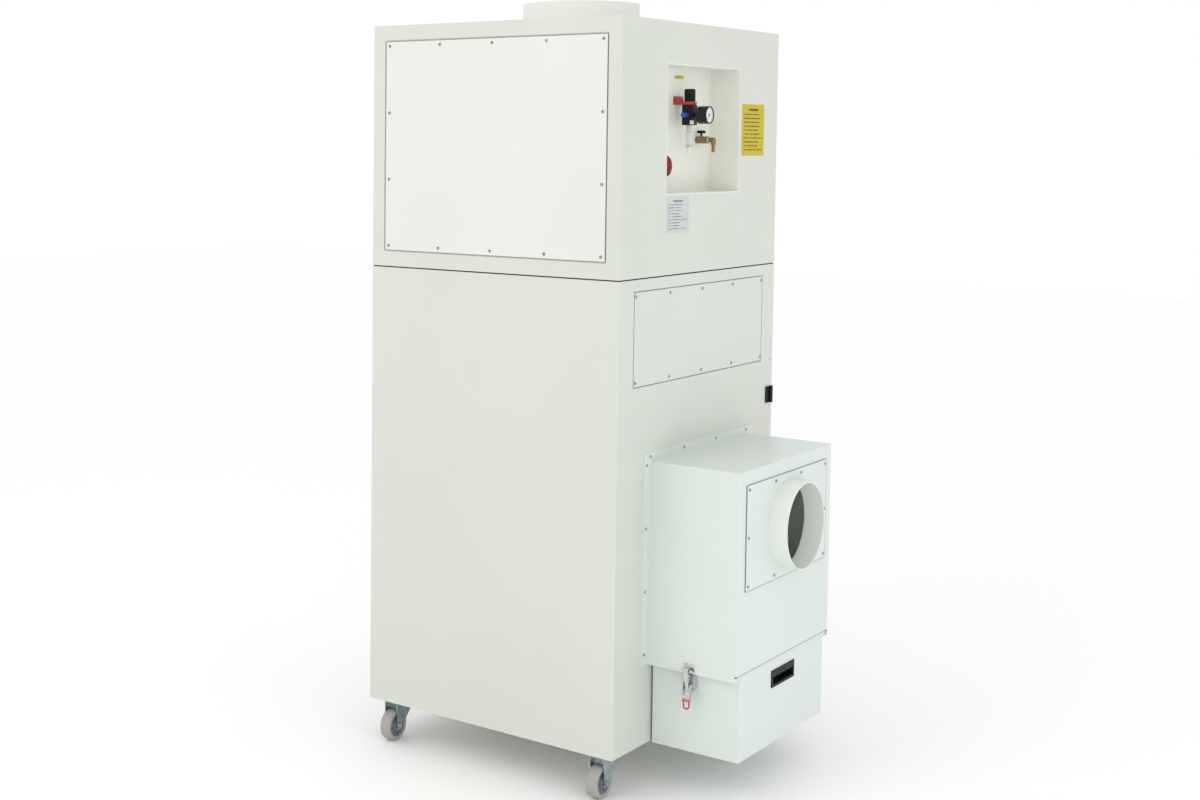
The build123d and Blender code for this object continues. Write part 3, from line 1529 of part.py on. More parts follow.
# ---- Impeller: shroud, slanted blades, back plate, hub and the motor's shaft
impeller_low = deck_high + impeller_lift
impeller_high = impeller_low + impeller_height
with BuildPart() as impeller:
    with BuildSketch(level(impeller_low)):
        Circle(impeller_radius)
        Circle(impeller_eye, mode=Mode.SUBTRACT)
    extrude(amount=impeller_sheet)
    with BuildSketch(level(impeller_low + impeller_sheet)):
        with PolarLocations((impeller_eye + impeller_radius) / 2, impeller_blades):
            Rectangle(
                (impeller_radius - impeller_eye) * 0.95, impeller_sheet, rotation=impeller_blade_angle
            )
    extrude(amount=impeller_height - 2 * impeller_sheet)
    with BuildSketch(level(impeller_high - impeller_sheet)):
        Circle(impeller_radius)
    extrude(amount=impeller_sheet)
    with BuildSketch(level(impeller_high - impeller_hub_height)):
        Circle(impeller_hub_radius)
    extrude(amount=impeller_hub_height)
    with BuildSketch(level(impeller_high)):
        Circle(motor_shaft_radius)
    extrude(amount=motor_shaft_length)
impeller.part.label = "impeller"
export_step(impeller.part, "parts/impeller.step")

# ---- Motor, shaft down, on a four-legged stool over the impeller
stool_z = impeller_high + impeller_hub_radius / 2
motor_low = stool_z + stool_plate
with BuildPart() as fan_motor:
    with BuildSketch(level(deck_high)):
        with GridLocations(2 * stool_half_width - stool_leg, 2 * stool_half_width - stool_leg, 2, 2):
            Rectangle(stool_leg, stool_leg)
    extrude(amount=stool_z - deck_high)
    with BuildSketch(level(stool_z)):
        Rectangle(2 * stool_half_width, 2 * stool_half_width)
    extrude(amount=stool_plate)
    with BuildSketch(level(motor_low)):
        Circle(motor_radius - motor_fin_depth)
        with PolarLocations(motor_radius - motor_fin_depth, motor_fins):
            Rectangle(2 * motor_fin_depth, 3.0)
    extrude(amount=motor_length)
    with BuildSketch(level(stool_z)):
        Circle(motor_shaft_radius + running_clearance)
    extrude(amount=motor_shaft_length, mode=Mode.SUBTRACT)
fan_motor.part.label = "fan_motor"
export_step(fan_motor.part, "parts/fan_motor.step")
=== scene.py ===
from math import cos, pi, radians, sin

import bmesh
import bpy
from mathutils import Matrix, Vector


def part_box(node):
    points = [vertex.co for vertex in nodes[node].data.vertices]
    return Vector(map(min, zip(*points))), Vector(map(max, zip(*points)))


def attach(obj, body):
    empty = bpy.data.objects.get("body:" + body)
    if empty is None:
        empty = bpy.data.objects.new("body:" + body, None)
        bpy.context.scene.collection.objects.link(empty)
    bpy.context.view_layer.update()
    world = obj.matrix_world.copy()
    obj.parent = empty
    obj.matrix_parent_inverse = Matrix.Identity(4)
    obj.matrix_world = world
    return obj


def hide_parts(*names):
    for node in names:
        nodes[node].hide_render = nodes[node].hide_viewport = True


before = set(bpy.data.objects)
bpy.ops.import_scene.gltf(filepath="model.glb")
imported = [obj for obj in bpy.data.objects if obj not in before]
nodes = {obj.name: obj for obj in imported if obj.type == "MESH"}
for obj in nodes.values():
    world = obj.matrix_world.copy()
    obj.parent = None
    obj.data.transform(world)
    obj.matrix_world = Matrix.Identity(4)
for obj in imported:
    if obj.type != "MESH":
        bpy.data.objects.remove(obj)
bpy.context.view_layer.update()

# ---- Floor, soft light and camera
# The machine stands on a wide flat floor, pale and matt, in a room that glows evenly all round.
# Three weak soft lamps stand on the fan side and the inlet side, and give the edges a little shape.


class Wire:
    """One output socket in a material. Sums written on it become Math nodes."""

    def __init__(self, finish, socket):
        self.finish = finish
        self.socket = socket

    def sum(self, operation, first, second):
        return self.finish.node("ShaderNodeMath", {"operation": operation}, {0: first, 1: second})

    def __add__(self, other):
        return self.sum("ADD", self, other)

    def __radd__(self, other):
        return self.sum("ADD", other, self)

    def __sub__(self, other):
        return self.sum("SUBTRACT", self, other)

    def __rsub__(self, other):
        return self.sum("SUBTRACT", other, self)

    def __mul__(self, other):
        return self.sum("MULTIPLY", self, other)

    def __rmul__(self, other):
        return self.sum("MULTIPLY", other, self)

    def __pow__(self, other):
        return self.sum("POWER", self, other)

    def __mod__(self, other):
        return self.sum("FLOORED_MODULO", self, other)

    def __abs__(self):
        return self.sum("ABSOLUTE", self, 0.0)

    def __gt__(self, other):
        return self.sum("GREATER_THAN", self, other)

    def __lt__(self, other):
        return self.sum("LESS_THAN", self, other)


class Finish:
    """A material: its Principled shader and the nodes that feed it."""

    def __init__(self, name, **fixed):
        self.material = bpy.data.materials.new(name)
        self.material.use_nodes = True
        self.tree = self.material.node_tree
        self.shader = self.tree.nodes["Principled BSDF"]
        for socket, value in fixed.items():
            self.shader.inputs[socket.replace("_", " ")].default_value = value

    def node(self, kind, settings, links, output=0):
        made = self.tree.nodes.new(kind)
        for key, value in settings.items():
            if key == "stops":
                for place, (at, grey) in enumerate(value):
                    ramp = made.color_ramp.elements
                    stop = ramp[place] if place < 2 else ramp.new(at)
                    stop.position = at
                    stop.color = (grey, grey, grey, 1)
            else:
                setattr(made, key, value)
        for key, value in links.items():
            if isinstance(value, Wire):
                self.tree.links.new(value.socket, made.inputs[key])
            else:
                made.inputs[key].default_value = value
        return Wire(self, made.outputs[output])

    def feed(self, **links):
        for socket, wire in links.items():
            self.tree.links.new(wire.socket, self.shader.inputs[socket.replace("_", " ")])

    def place(self):
        return self.node("ShaderNodeTexCoord", {}, {}, "Object")

    def axes(self):
        return [self.node("ShaderNodeSeparateXYZ", {}, {0: self.place()}, name) for name in "XYZ"]

    def noise(self, scale, detail=3.0, stretch=(1, 1, 1)):
        where = self.node("ShaderNodeMapping", {}, {"Vector": self.place(), "Scale": stretch})
        links = {"Vector": where, "Scale": scale, "Detail": detail}
        return self.node("ShaderNodeTexNoise", {}, links, "Fac")

    def ramp(self, wire, *stops):
        return self.node("ShaderNodeValToRGB", {"stops": stops}, {"Fac": wire})

    def mix(self, factor, first, second):
        links = {0: factor, 6: first, 7: second}
        return self.node("ShaderNodeMix", {"data_type": "RGBA"}, links, 2)

    def bump(self, height, depth, strength=1.0):
        links = {"Height": height, "Distance": depth, "Strength": strength}
        self.feed(Normal=self.node("ShaderNodeBump", {}, links))

    def coat(self, *objects):
        for piece in objects:
            piece.data.materials.clear()
            piece.data.materials.append(self.material)


def studio_lamp(name, place, aim, power, width, height, colour):
    lamp = bpy.data.lights.new(name, "AREA")
    lamp.color = colour
    lamp.shape = "RECTANGLE"
    lamp.size = width
    lamp.size_y = height
    lamp.energy = power
    holder = bpy.data.objects.new(name, lamp)
    holder.location = place
    holder.rotation_euler = (Vector(aim) - Vector(place)).to_track_quat("-Z", "Y").to_euler()
    bpy.context.scene.collection.objects.link(holder)


warm = (1.0, 0.95, 0.88)
cool = (0.72, 0.95, 1.0)
studio_lamp("rear_side_lamp", (0.8, 3.0, 3.2), (0.1, 0.4, 1.5), 15, 1.6, 1.6, warm)
studio_lamp("inlet_side_lamp", (-2.7, 1.3, 0.3), (-0.2, 0.3, 0.3), 7, 0.8, 0.5, cool)
studio_lamp("front_lamp", (-3.0, 4.6, 1.9), (0.1, 0.0, 1.1), 12, 2.0, 2.0, warm)

room = bpy.data.worlds.new("pale_room")
room.use_nodes = True
room.node_tree.nodes["Background"].inputs["Color"].default_value = (1.0, 1.0, 1.0, 1)
room.node_tree.nodes["Background"].inputs["Strength"].default_value = 1.0
bpy.context.scene.world = room
bpy.context.scene.view_settings.view_transform = "Standard"

floor_reach = 14.0
floor_mesh = bpy.data.meshes.new("studio_floor")
floor_shape = bmesh.new()
bmesh.ops.create_grid(floor_shape, x_segments=2, y_segments=2, size=floor_reach)
floor_shape.to_mesh(floor_mesh)
floor = bpy.data.objects.new("studio_floor", floor_mesh)
bpy.context.scene.collection.objects.link(floor)
floor_finish = Finish("pale_floor", Roughness=0.9)
floor_tone = floor_finish.noise(0.6, 2.0)
floor_finish.feed(
    Base_Color=floor_finish.mix(floor_tone, (0.975, 0.975, 0.975, 1), (0.99, 0.99, 0.99, 1))
)
floor_finish.coat(floor)

camera_place = (-2.0778, 3.6029, 1.4753)
swing = radians(218.218)
rise = radians(3.333)
lean = radians(0.406)
back = Vector((sin(swing) * cos(rise), -cos(swing) * cos(rise), sin(rise)))
level_right = Vector((-back.y, back.x, 0)).normalized()
level_up = back.cross(level_right)
right = level_right * cos(lean) + level_up * sin(lean)
up = level_up * cos(lean) - level_right * sin(lean)
lens = bpy.data.cameras.new("camera")
lens.sensor_width = 36.0
lens.lens = 50.58
lens.shift_x = 0.1798
lens.shift_y = -0.1336
lens.clip_end = 60.0
camera = bpy.data.objects.new("camera", lens)
camera.matrix_world = Matrix((
    (right.x, up.x, back.x, camera_place[0]),
    (right.y, up.y, back.y, camera_place[1]),
    (right.z, up.z, back.z, camera_place[2]),
    (0, 0, 0, 1),
))
bpy.context.scene.collection.objects.link(camera)
bpy.context.scene.camera = camera


# ---- Powder-coated cabinet sheet metal
# Two bent steel cabinets, one on the other, with flush screwed covers and a let-in roof. All of it
# is sprayed a warm off-white powder coat, satin, with a fine orange peel and a little dust low down.


def powder_coat(name, colour, shaded, gloss, edges=(), gap_shade=(0.17, 0.175, 0.165, 1), reach=9.0):
    """Sprayed coat with a dark painted shade line just inside each of `edges`, as (axis number, low,
    high), standing in for a gap's shadow.
    """
    coat = Finish(name, Metallic=0.0, Coat_Roughness=0.3, IOR=1.5)
    east, north, height = coat.axes()
    clouds = coat.noise(2.6, 4.0)
    speckle = coat.noise(260.0, 2.0)
    dusty = coat.ramp(height + clouds * 0.25, (0.12, 1.0), (0.62, 0.0)) * speckle * 0.2
    tone = coat.mix(coat.ramp(clouds, (0.32, 0.0), (0.70, 1.0)), colour, shaded)
    dusted = coat.mix(dusty, tone, (0.56, 0.55, 0.49, 1))
    for axis, low, high in edges:
        spot = (east, north, height)[axis]
        # Painted shade: each band is mixed to a dark colour where a gap's shadow falls
        dusted = coat.mix((spot > low) * (spot < high) * (east < reach), dusted, gap_shade)
    smear = coat.noise(7.0, 5.0, (1.0, 1.0, 0.25))
    coat.feed(
        Base_Color=dusted,
        Roughness=gloss + smear * 0.12 + dusty * 0.25,
        Coat_Weight=0.22 - dusty * 0.2,
    )
    peel = coat.noise(420.0, 2.0) * 0.7 + coat.noise(45.0, 1.0) * 0.3
    coat.bump(peel, 0.00035, 0.35)
    return coat


cabinet_coat = powder_coat(
    "warm_white_powder_coat", (0.648, 0.672, 0.606, 1), (0.623, 0.646, 0.582, 1), 0.34
)
cabinet_coat.coat(
    nodes["lower_wrap"], nodes["upper_wrap"], nodes["top_panel"], nodes["base_pan"],
    nodes["door_frame"], nodes["front_door"], nodes["tube_sheet"], nodes["fan_deck"],
)
# Half width of each painted gap-shadow band
gap_line = 0.0014


def rim_lines(node, *axes):
    """Bands along the rims of a flat cover that spans `axes`, where the shadow in its gap is painted
    as a dark line.
    """
    low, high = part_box(node)
    bands = []
    for axis in axes:
        bands.append((axis, low[axis] - gap_line, low[axis] + gap_line))
        bands.append((axis, high[axis] - gap_line, high[axis] + gap_line))
    return bands


# Painted light: the rear cover's coat is lighter than the cabinet's, standing in for light from
# above; its rims carry painted gap shade
powder_coat(
    "painted_light_cover_coat", (0.735, 0.757, 0.706, 1), (0.710, 0.731, 0.681, 1), 0.34,
    rim_lines("rear_panel", 0, 2),
).coat(nodes["rear_panel"])
# Painted shade: dark bands along the plenum cover's rims stand in for the shadow in its gap
powder_coat(
    "plenum_cover_powder_coat", (0.655, 0.678, 0.625, 1), (0.632, 0.655, 0.602, 1), 0.34,
    rim_lines("plenum_panel", 1, 2),
).coat(nodes["plenum_panel"])
# Painted light: the niche's coat is lighter than the cabinet's, standing in for light inside the
# shaded recess
niche_coat = powder_coat(
    "niche_coat_with_painted_light", (0.820, 0.830, 0.750, 1), (0.790, 0.800, 0.722, 1), 0.34
)
niche_coat.coat(nodes["service_niche"])

# ---- Inlet box, dust bin and the two duct collars
# Folded sheet boxes and rolled tubes from another batch of the same powder coat, a touch cooler.
# The collars' bores have lost their gloss where dusty air rubs them, and their colour inside is
# painted paler as painted light.
box_outer_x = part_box("inlet_box")[0].x
bin_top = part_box("dust_bin")[1].z
rim_below = 0.0009
rim_above = 0.0030
rim_reach = 0.0060
# Painted shade: a dark band at the bin's top, on the front faces, stands in for the shadow in the
# seam under the box
box_coat = powder_coat(
    "cool_white_powder_coat", (0.678, 0.738, 0.702, 1), (0.655, 0.714, 0.679, 1), 0.34,
    [(2, bin_top - rim_below, bin_top + rim_above)], (0.15, 0.155, 0.15, 1),
    box_outer_x + rim_reach,
)
box_coat.coat(nodes["inlet_box"], nodes["dust_bin"])
baffle_coat = powder_coat(
    "pale_baffle_coat", (0.93, 0.95, 0.90, 1), (0.90, 0.92, 0.87, 1), 0.34
)
baffle_coat.coat(nodes["inlet_baffle"])
ramp_middle = 0.5


def collar_coat(name, centre, bore, along, plate_from=9.0, edges=()):
    """Powder coat that turns dull, and paler as painted light, inside a tube whose axis runs along X
    (0) or Z (2).
    """
    coat = Finish(name, Coat_Roughness=0.3)
    places = coat.axes()
    across = [spot for number, spot in enumerate(places) if number != along]
    first = (across[0] - centre[0]) ** 2.0
    second = (across[1] - centre[1]) ** 2.0
    reach = (first + second) ** 0.5
    inside = coat.ramp(reach - (bore - ramp_middle), (0.4995, 1.0), (0.5008, 0.0))
    clouds = coat.noise(9.0, 4.0)
    tube = coat.mix(clouds, (0.800, 0.825, 0.785, 1), (0.770, 0.796, 0.755, 1))
    sheet = coat.mix(clouds, (0.685, 0.745, 0.705, 1), (0.662, 0.722, 0.682, 1))
    clean = coat.mix(places[along] > plate_from, tube, sheet)
    # Painted light: the bore's colour is paler than the tube's outside, standing in for light inside
    # the shaded tube
    dull = coat.mix(coat.noise(24.0, 5.0), (0.84, 0.87, 0.82, 1), (0.76, 0.80, 0.74, 1))
    # Painted shade: dark bands along the plate's rims stand in for the shadow in its gap
    for axis, low, high in edges:
        clean = coat.mix((places[axis] > low) * (places[axis] < high), clean, (0.2, 0.2, 0.19, 1))
    coat.feed(
        Base_Color=coat.mix(inside, clean, dull),
        Roughness=0.38 + inside * 0.3 + clouds * 0.06,
        Coat_Weight=0.2 - inside * 0.2,
    )
    coat.bump(coat.noise(420.0, 2.0), 0.00035, 0.35)
    return coat


inlet_bore = 0.0985
exhaust_bore = 0.1415
plate_thickness = 0.0025
inlet_low, inlet_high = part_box("inlet_collar")
inlet_middle = ((inlet_low.y + inlet_high.y) / 2, (inlet_low.z + inlet_high.z) / 2)
collar_coat(
    "inlet_collar_coat", inlet_middle, inlet_bore, 0, inlet_high.x - plate_thickness,
    rim_lines("inlet_collar", 1, 2),
).coat(nodes["inlet_collar"])
exhaust_low, exhaust_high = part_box("exhaust_collar")
exhaust_middle = ((exhaust_low.x + exhaust_high.x) / 2, (exhaust_low.y + exhaust_high.y) / 2)
collar_coat("exhaust_collar_coat", exhaust_middle, exhaust_bore, 2).coat(nodes["exhaust_collar"])

# ---- Zinc-plated hardware
# Pan-head cover screws, the latches, the castor forks and their plates are pressed or cut from steel
# and bright zinc plated, with a faint grain and dull patches. The dust tray is folded zinc sheet.


def zinc_plate(name, colour, dull, rough):
    plate = Finish(name, Metallic=1.0)
    patches = plate.noise(70.0, 4.0)
    grain = plate.noise(180.0, 3.0, (6.0, 6.0, 0.6))
    plate.feed(
        Base_Color=plate.mix(plate.ramp(patches, (0.35, 0.0), (0.7, 1.0)), colour, dull),
        Roughness=rough + grain * 0.14 + patches * 0.10,
    )
    plate.bump(grain, 0.0002, 0.25)
    return plate


zinc = zinc_plate("bright_zinc", (0.70, 0.71, 0.72, 1), (0.50, 0.51, 0.52, 1), 0.22)
screw_zinc = zinc_plate("dull_screw_zinc", (0.42, 0.43, 0.43, 1), (0.24, 0.245, 0.245, 1), 0.30)
screw_zinc.coat(nodes["cover_screws"])
zinc.coat(
    nodes["latch_keepers"], nodes["latch_bases"], nodes["latch_hook_1"],
    nodes["latch_hook_2"],
)
castor_zinc = zinc_plate("blue_zinc", (0.46, 0.55, 0.58, 1), (0.27, 0.34, 0.37, 1), 0.24)
castor_zinc.coat(
    nodes["caster_plates"], nodes["caster_fork_1"], nodes["caster_fork_2"],
    nodes["caster_fork_3"], nodes["caster_fork_4"],
)
tray_zinc = zinc_plate("spangled_zinc", (0.66, 0.68, 0.69, 1), (0.55, 0.57, 0.59, 1), 0.45)
tray_zinc.coat(nodes["dust_tray"])

# ---- Latch levers with dipped grips
# A pressed zinc lever with a bent wire loop. The loop's lower half is dipped in soft red vinyl.
grip_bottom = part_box("latch_lever_1")[0].z
dip_height = 0.024
lever_finish = Finish("zinc_lever_with_red_grip")
lever_z = lever_finish.axes()[2]
above_dip = lever_z - (grip_bottom + dip_height - ramp_middle)
dipped = lever_finish.ramp(above_dip, (0.4998, 1.0), (0.5002, 0.0))
scuffs = lever_finish.noise(160.0, 4.0)
bare_steel = lever_finish.mix(scuffs, (0.68, 0.69, 0.70, 1), (0.48, 0.49, 0.50, 1))
red_vinyl = lever_finish.mix(scuffs, (0.62, 0.03, 0.03, 1), (0.50, 0.02, 0.025, 1))
lever_finish.feed(
    Base_Color=lever_finish.mix(dipped, bare_steel, red_vinyl),
    Metallic=1 - dipped,
    Roughness=0.26 + dipped * 0.14 + scuffs * 0.1,
)
lever_finish.bump(scuffs, 0.0002, 0.3)
lever_finish.coat(nodes["latch_lever_1"], nodes["latch_lever_2"])

# ---- Castor wheels
# Each wheel is a moulded grey-violet hub with a ring of ribs on both faces, and a cast rubber tread
# with rounded shoulders. It turns on the fork's bolt.


def piece(name, shape, body, finish, slot, smooth=True):
    """A visual mesh that rides on a body and wears the given finish; `slot` is not used."""
    mesh = bpy.data.meshes.new(name)
    bmesh.ops.recalc_face_normals(shape, faces=shape.faces)
    shape.to_mesh(mesh)
    shape.free()
    if smooth:
        mesh.shade_smooth()
        mesh.set_sharp_from_angle(angle=radians(32))
    made = bpy.data.objects.new(name, mesh)
    bpy.context.scene.collection.objects.link(made)
    finish.coat(made)
    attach(made, body)
    return made


def circle(shape, centre, radius, steps, axis="X"):
    """Points of a circle round an X or Z axis through `centre`."""
    ring = []
    for step in range(steps):
        first = radius * cos(2 * pi * step / steps)
        second = radius * sin(2 * pi * step / steps)
        shift = (0, first, second) if axis == "X" else (first, second, 0)
        ring.append(shape.verts.new([middle + part for middle, part in zip(centre, shift)]))
    return ring


def join_rings(shape, rings):
    """Bands of faces from each ring to the next one."""
    for ring, after in zip(rings, rings[1:]):
        for step in range(len(ring)):
            turn = (step + 1) % len(ring)
            shape.faces.new((ring[step], ring[turn], after[turn], after[step]))


def spin_profile(shape, profile, spot):
    """Closed ring round an X axis through `spot`, from (along, radius) points."""
    rings = [
        circle(shape, (spot[0] + along, spot[1], spot[2]), radius, wheel_steps)
        for along, radius in profile
    ]
    join_rings(shape, rings + rings[:1])


wheel_steps = 72
rib_count = 8
rib_size = (0.0030, 0.0122, 0.0022, 1)
rib_radius = 0.0182
rib_set_out = 0.0100

tread = Finish("grey_rubber_tread", Specular_IOR_Level=0.35)
tread_dust = tread.noise(90.0, 5.0)
tread.feed(
    Base_Color=tread.mix(tread_dust, (0.34, 0.325, 0.305, 1), (0.43, 0.41, 0.385, 1)),
    Roughness=0.55 + tread_dust * 0.25,
)
tread.bump(tread.noise(600.0, 3.0), 0.0003, 0.4)

hub_plastic = Finish("grey_violet_hub")
hub_scuff = hub_plastic.noise(120.0, 4.0)
hub_plastic.feed(
    Base_Color=hub_plastic.mix(hub_scuff, (0.235, 0.225, 0.26, 1), (0.18, 0.175, 0.21, 1)),
    Roughness=0.42 + hub_scuff * 0.2,
)
hub_plastic.bump(hub_plastic.noise(500.0, 2.0), 0.0002, 0.3)

tread_profile = [
    (0.0128, 0.0271), (0.0150, 0.0292), (0.0150, 0.0310), (0.0144, 0.0338), (0.0128, 0.0360),
    (0.0102, 0.0372), (0.0060, 0.0375), (0.0, 0.0375), (-0.0060, 0.0375), (-0.0102, 0.0372),
    (-0.0128, 0.0360), (-0.0144, 0.0338), (-0.0150, 0.0310), (-0.0150, 0.0292), (-0.0128, 0.0271),
]
hub_profile = [
    (0.0150, 0.0041), (0.0150, 0.0112), (0.0142, 0.0122), (0.0092, 0.0130), (0.0085, 0.0140),
    (0.0085, 0.0232), (0.0094, 0.0242), (0.0128, 0.0252), (0.0132, 0.0262), (0.0128, 0.0270),
    (-0.0128, 0.0270), (-0.0132, 0.0262), (-0.0128, 0.0252), (-0.0094, 0.0242), (-0.0085, 0.0232),
    (-0.0085, 0.0140), (-0.0092, 0.0130), (-0.0142, 0.0122), (-0.0150, 0.0112), (-0.0150, 0.0041),
]
for number in range(1, 5):
    wheel_low, wheel_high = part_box(f"caster_wheel_{number}")
    axle = (wheel_low + wheel_high) / 2
    shape = bmesh.new()
    spin_profile(shape, tread_profile, axle)
    tyre = piece(f"tread_{number}", shape, f"wheel_{number}", tread, "wheel")
    shape = bmesh.new()
    spin_profile(shape, hub_profile, axle)
    # Flat ribs between the hub's boss and its rim, on both faces
    for face in (-1, 1):
        for rib in range(rib_count):
            turn = 2 * pi * (rib + 0.5) / rib_count
            spoke = bmesh.ops.create_cube(shape, size=1.0)["verts"]
            reach = Matrix.Translation(axle) @ Matrix.Rotation(turn, 4, "X")
            size = Matrix.Diagonal(rib_size)
            shift = Matrix.Translation((face * rib_set_out, rib_radius, 0))
            bmesh.ops.transform(shape, matrix=reach @ shift @ size, verts=spoke)
    hub = piece(f"hub_{number}", shape, f"wheel_{number}", hub_plastic, "wheel")
    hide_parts(f"caster_wheel_{number}")
    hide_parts(f"caster_wheel_{number}")

# ---- Black mouldings
# The recessed bin pull, the door's star knobs and hinges, the regulator's knob, the valve's lever,
# the button bezels and the cable gland are black nylon moulded with a fine spark texture.
black = Finish("black_nylon", Specular_IOR_Level=0.25)
black_wear = black.noise(80.0, 5.0)
black.feed(
    Base_Color=black.mix(black_wear, (0.004, 0.004, 0.005, 1), (0.011, 0.011, 0.013, 1)),
    Roughness=0.38 + black_wear * 0.25,
)
black.bump(black.noise(900.0, 2.0), 0.0003, 0.4)
black.coat(
    nodes["bin_pull"], nodes["door_knob_1"], nodes["door_knob_2"], nodes["hinge_leaves"],
    nodes["hinge_knuckles"], nodes["regulator_knob"], nodes["button_bezels"],
    nodes["cable_gland"], nodes["valve_lever"],
)

# ---- Foam strips
# Closed-cell black foam is glued between the two cabinets and round the door's inside. It is
# slightly porous and dulls with dust.
foam = Finish("black_foam", Specular_IOR_Level=0.25)
cells = foam.node("ShaderNodeTexVoronoi", {}, {"Vector": foam.place(), "Scale": 700.0}, "Distance")
foam.feed(
    Base_Color=foam.mix(cells, (0.020, 0.024, 0.021, 1), (0.060, 0.066, 0.060, 1)),
    Roughness=0.8 + cells * 0.15,
)
foam.bump(cells, 0.0006, 0.6)
foam.coat(nodes["seam_gasket"], nodes["door_seal"])

# ---- Regulator body, bracket and ring
# A black filter regulator: die-cast body under a red lock ring, held by a red painted plate that
# two screws fix to the niche's back.
casting = Finish("black_die_casting", Specular_IOR_Level=0.25)
casting_grain = casting.noise(300.0, 4.0)
casting.feed(
    Base_Color=casting.mix(casting_grain, (0.005, 0.005, 0.006, 1), (0.014, 0.014, 0.016, 1)),
    Roughness=0.36 + casting_grain * 0.2,
)
casting.bump(casting_grain, 0.0003, 0.5)
casting.coat(nodes["regulator_body"])

red_paint = Finish("red_bracket_paint", Specular_IOR_Level=0.25)
red_tone = red_paint.noise(60.0, 4.0)
red_paint.feed(
    Base_Color=red_paint.mix(red_tone, (0.60, 0.075, 0.05, 1), (0.46, 0.05, 0.04, 1)),
    Roughness=0.34 + red_tone * 0.2,
)
red_paint.bump(red_paint.noise(420.0, 2.0), 0.0003, 0.35)
red_paint.coat(nodes["regulator_bracket"], nodes["regulator_ring"])

# Two dark pan-head screws hold the plate, and a white blanking plug closes the body's spare port
reg_low, reg_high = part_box("regulator_body")
plate_low, plate_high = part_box("regulator_bracket")
screw_half_pitch = 0.0185
bracket_thickness = 0.0025
head_profile = ((0.0028, 0.0), (0.0028, 0.0008), (0.0019, 0.0016), (0.0008, 0.0016))
head_steps = 24
head_z = (plate_low.z + plate_high.z) / 2
face_x = plate_high.x - bracket_thickness
for side in (-1, 1):
    head_y = (plate_low.y + plate_high.y) / 2 + side * screw_half_pitch
    shape = bmesh.new()
    domes = [
        circle(shape, (face_x - proud, head_y, head_z), radius, head_steps)
        for radius, proud in head_profile
    ]
    join_rings(shape, domes)
    shape.faces.new(domes[-1])
    piece(f"bracket_screw_{side + 2}", shape, "cabinet", casting, "zinc")

plug_white = Finish("white_plug_nylon", Specular_IOR_Level=0.45)
plug_tone = plug_white.noise(240.0, 3.0)
plug_white.feed(
    Base_Color=plug_white.mix(plug_tone, (0.74, 0.74, 0.70, 1), (0.62, 0.62, 0.58, 1)),
    Roughness=0.42 + plug_tone * 0.15,
)
plug_size = (0.0050, 0.0095, 0.0095, 1)
plug_set_in = 0.0012
plug_level = 0.0065
plug_corner = 0.0010
shape = bmesh.new()
made = bmesh.ops.create_cube(shape, size=1.0)["verts"]
stretch = Matrix.Diagonal(plug_size)
spot = Matrix.Translation(
    (reg_low.x + plug_set_in, reg_high.y - plug_set_in, reg_low.z + plug_level)
)
corner_turn = Matrix.Rotation(radians(-45), 4, "Z")
bmesh.ops.transform(shape, matrix=spot @ corner_turn @ stretch, verts=made)
bmesh.ops.bevel(
    shape, geom=list(shape.edges), offset=plug_corner, segments=2, profile=0.5, affect="EDGES"
)
piece("port_plug", shape, "cabinet", plug_white, "clear_bowl")

# ---- Clear filter bowl
# A moulded clear bowl hangs from a cloudy ivory collar, and a zinc ring holds the drain at its foot.
bowl_low, bowl_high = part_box("filter_bowl")
bowl = Finish("clear_bowl", IOR=1.49)
bowl_z = bowl.axes()[2]
ivory_height = 0.0152
drain_height = 0.0201
ring_level = 0.0169
collar_part = bowl_z > bowl_high.z - ivory_height
drain_part = bowl_z < bowl_low.z + drain_height
foot_ring = drain_part * (bowl_z > bowl_low.z + ring_level)
solid_part = collar_part + drain_part
bowl_haze = bowl.noise(140.0, 3.0)
bowl.feed(
    Base_Color=bowl.mix(
        foot_ring,
        bowl.mix(
            collar_part,
            bowl.mix(bowl_haze, (0.86, 0.88, 0.87, 1), (0.74, 0.77, 0.76, 1)),
            (0.72, 0.66, 0.50, 1),
        ),
        (0.55, 0.56, 0.57, 1),
    ),
    Metallic=foot_ring,
    Roughness=0.08 + bowl_haze * 0.08 + solid_part * 0.25,
    Alpha=0.42 + solid_part * 0.58,
)
bowl.coat(nodes["filter_bowl"])

# ---- Push-in fitting
# A blue acetal collar on a small hexagon, for the tube that feeds the pulse tank.
blue = Finish("blue_acetal", Coat_Weight=0.15)
blue_tone = blue.noise(200.0, 3.0)
blue.feed(
    Base_Color=blue.mix(blue_tone, (0.012, 0.07, 0.36, 1), (0.02, 0.10, 0.46, 1)),
    Roughness=0.3 + blue_tone * 0.15,
)
blue.bump(blue_tone, 0.0002, 0.3)
blue.coat(nodes["push_fitting"])

# ---- Pressure gauge
# A 40 mm gauge in a black steel case: white dial, black marks and numbers, and a thin black needle
# behind a clear pane that the bezel holds.
case_finish = Finish("black_gauge_case", Specular_IOR_Level=0.3)
case_tone = case_finish.noise(150.0, 3.0)
case_finish.feed(
    Base_Color=case_finish.mix(case_tone, (0.010, 0.010, 0.011, 1), (0.026, 0.026, 0.028, 1)),
    Roughness=0.24 + case_tone * 0.15,
)
case_finish.bump(case_tone, 0.0002, 0.2)
case_finish.coat(nodes["pressure_gauge"])

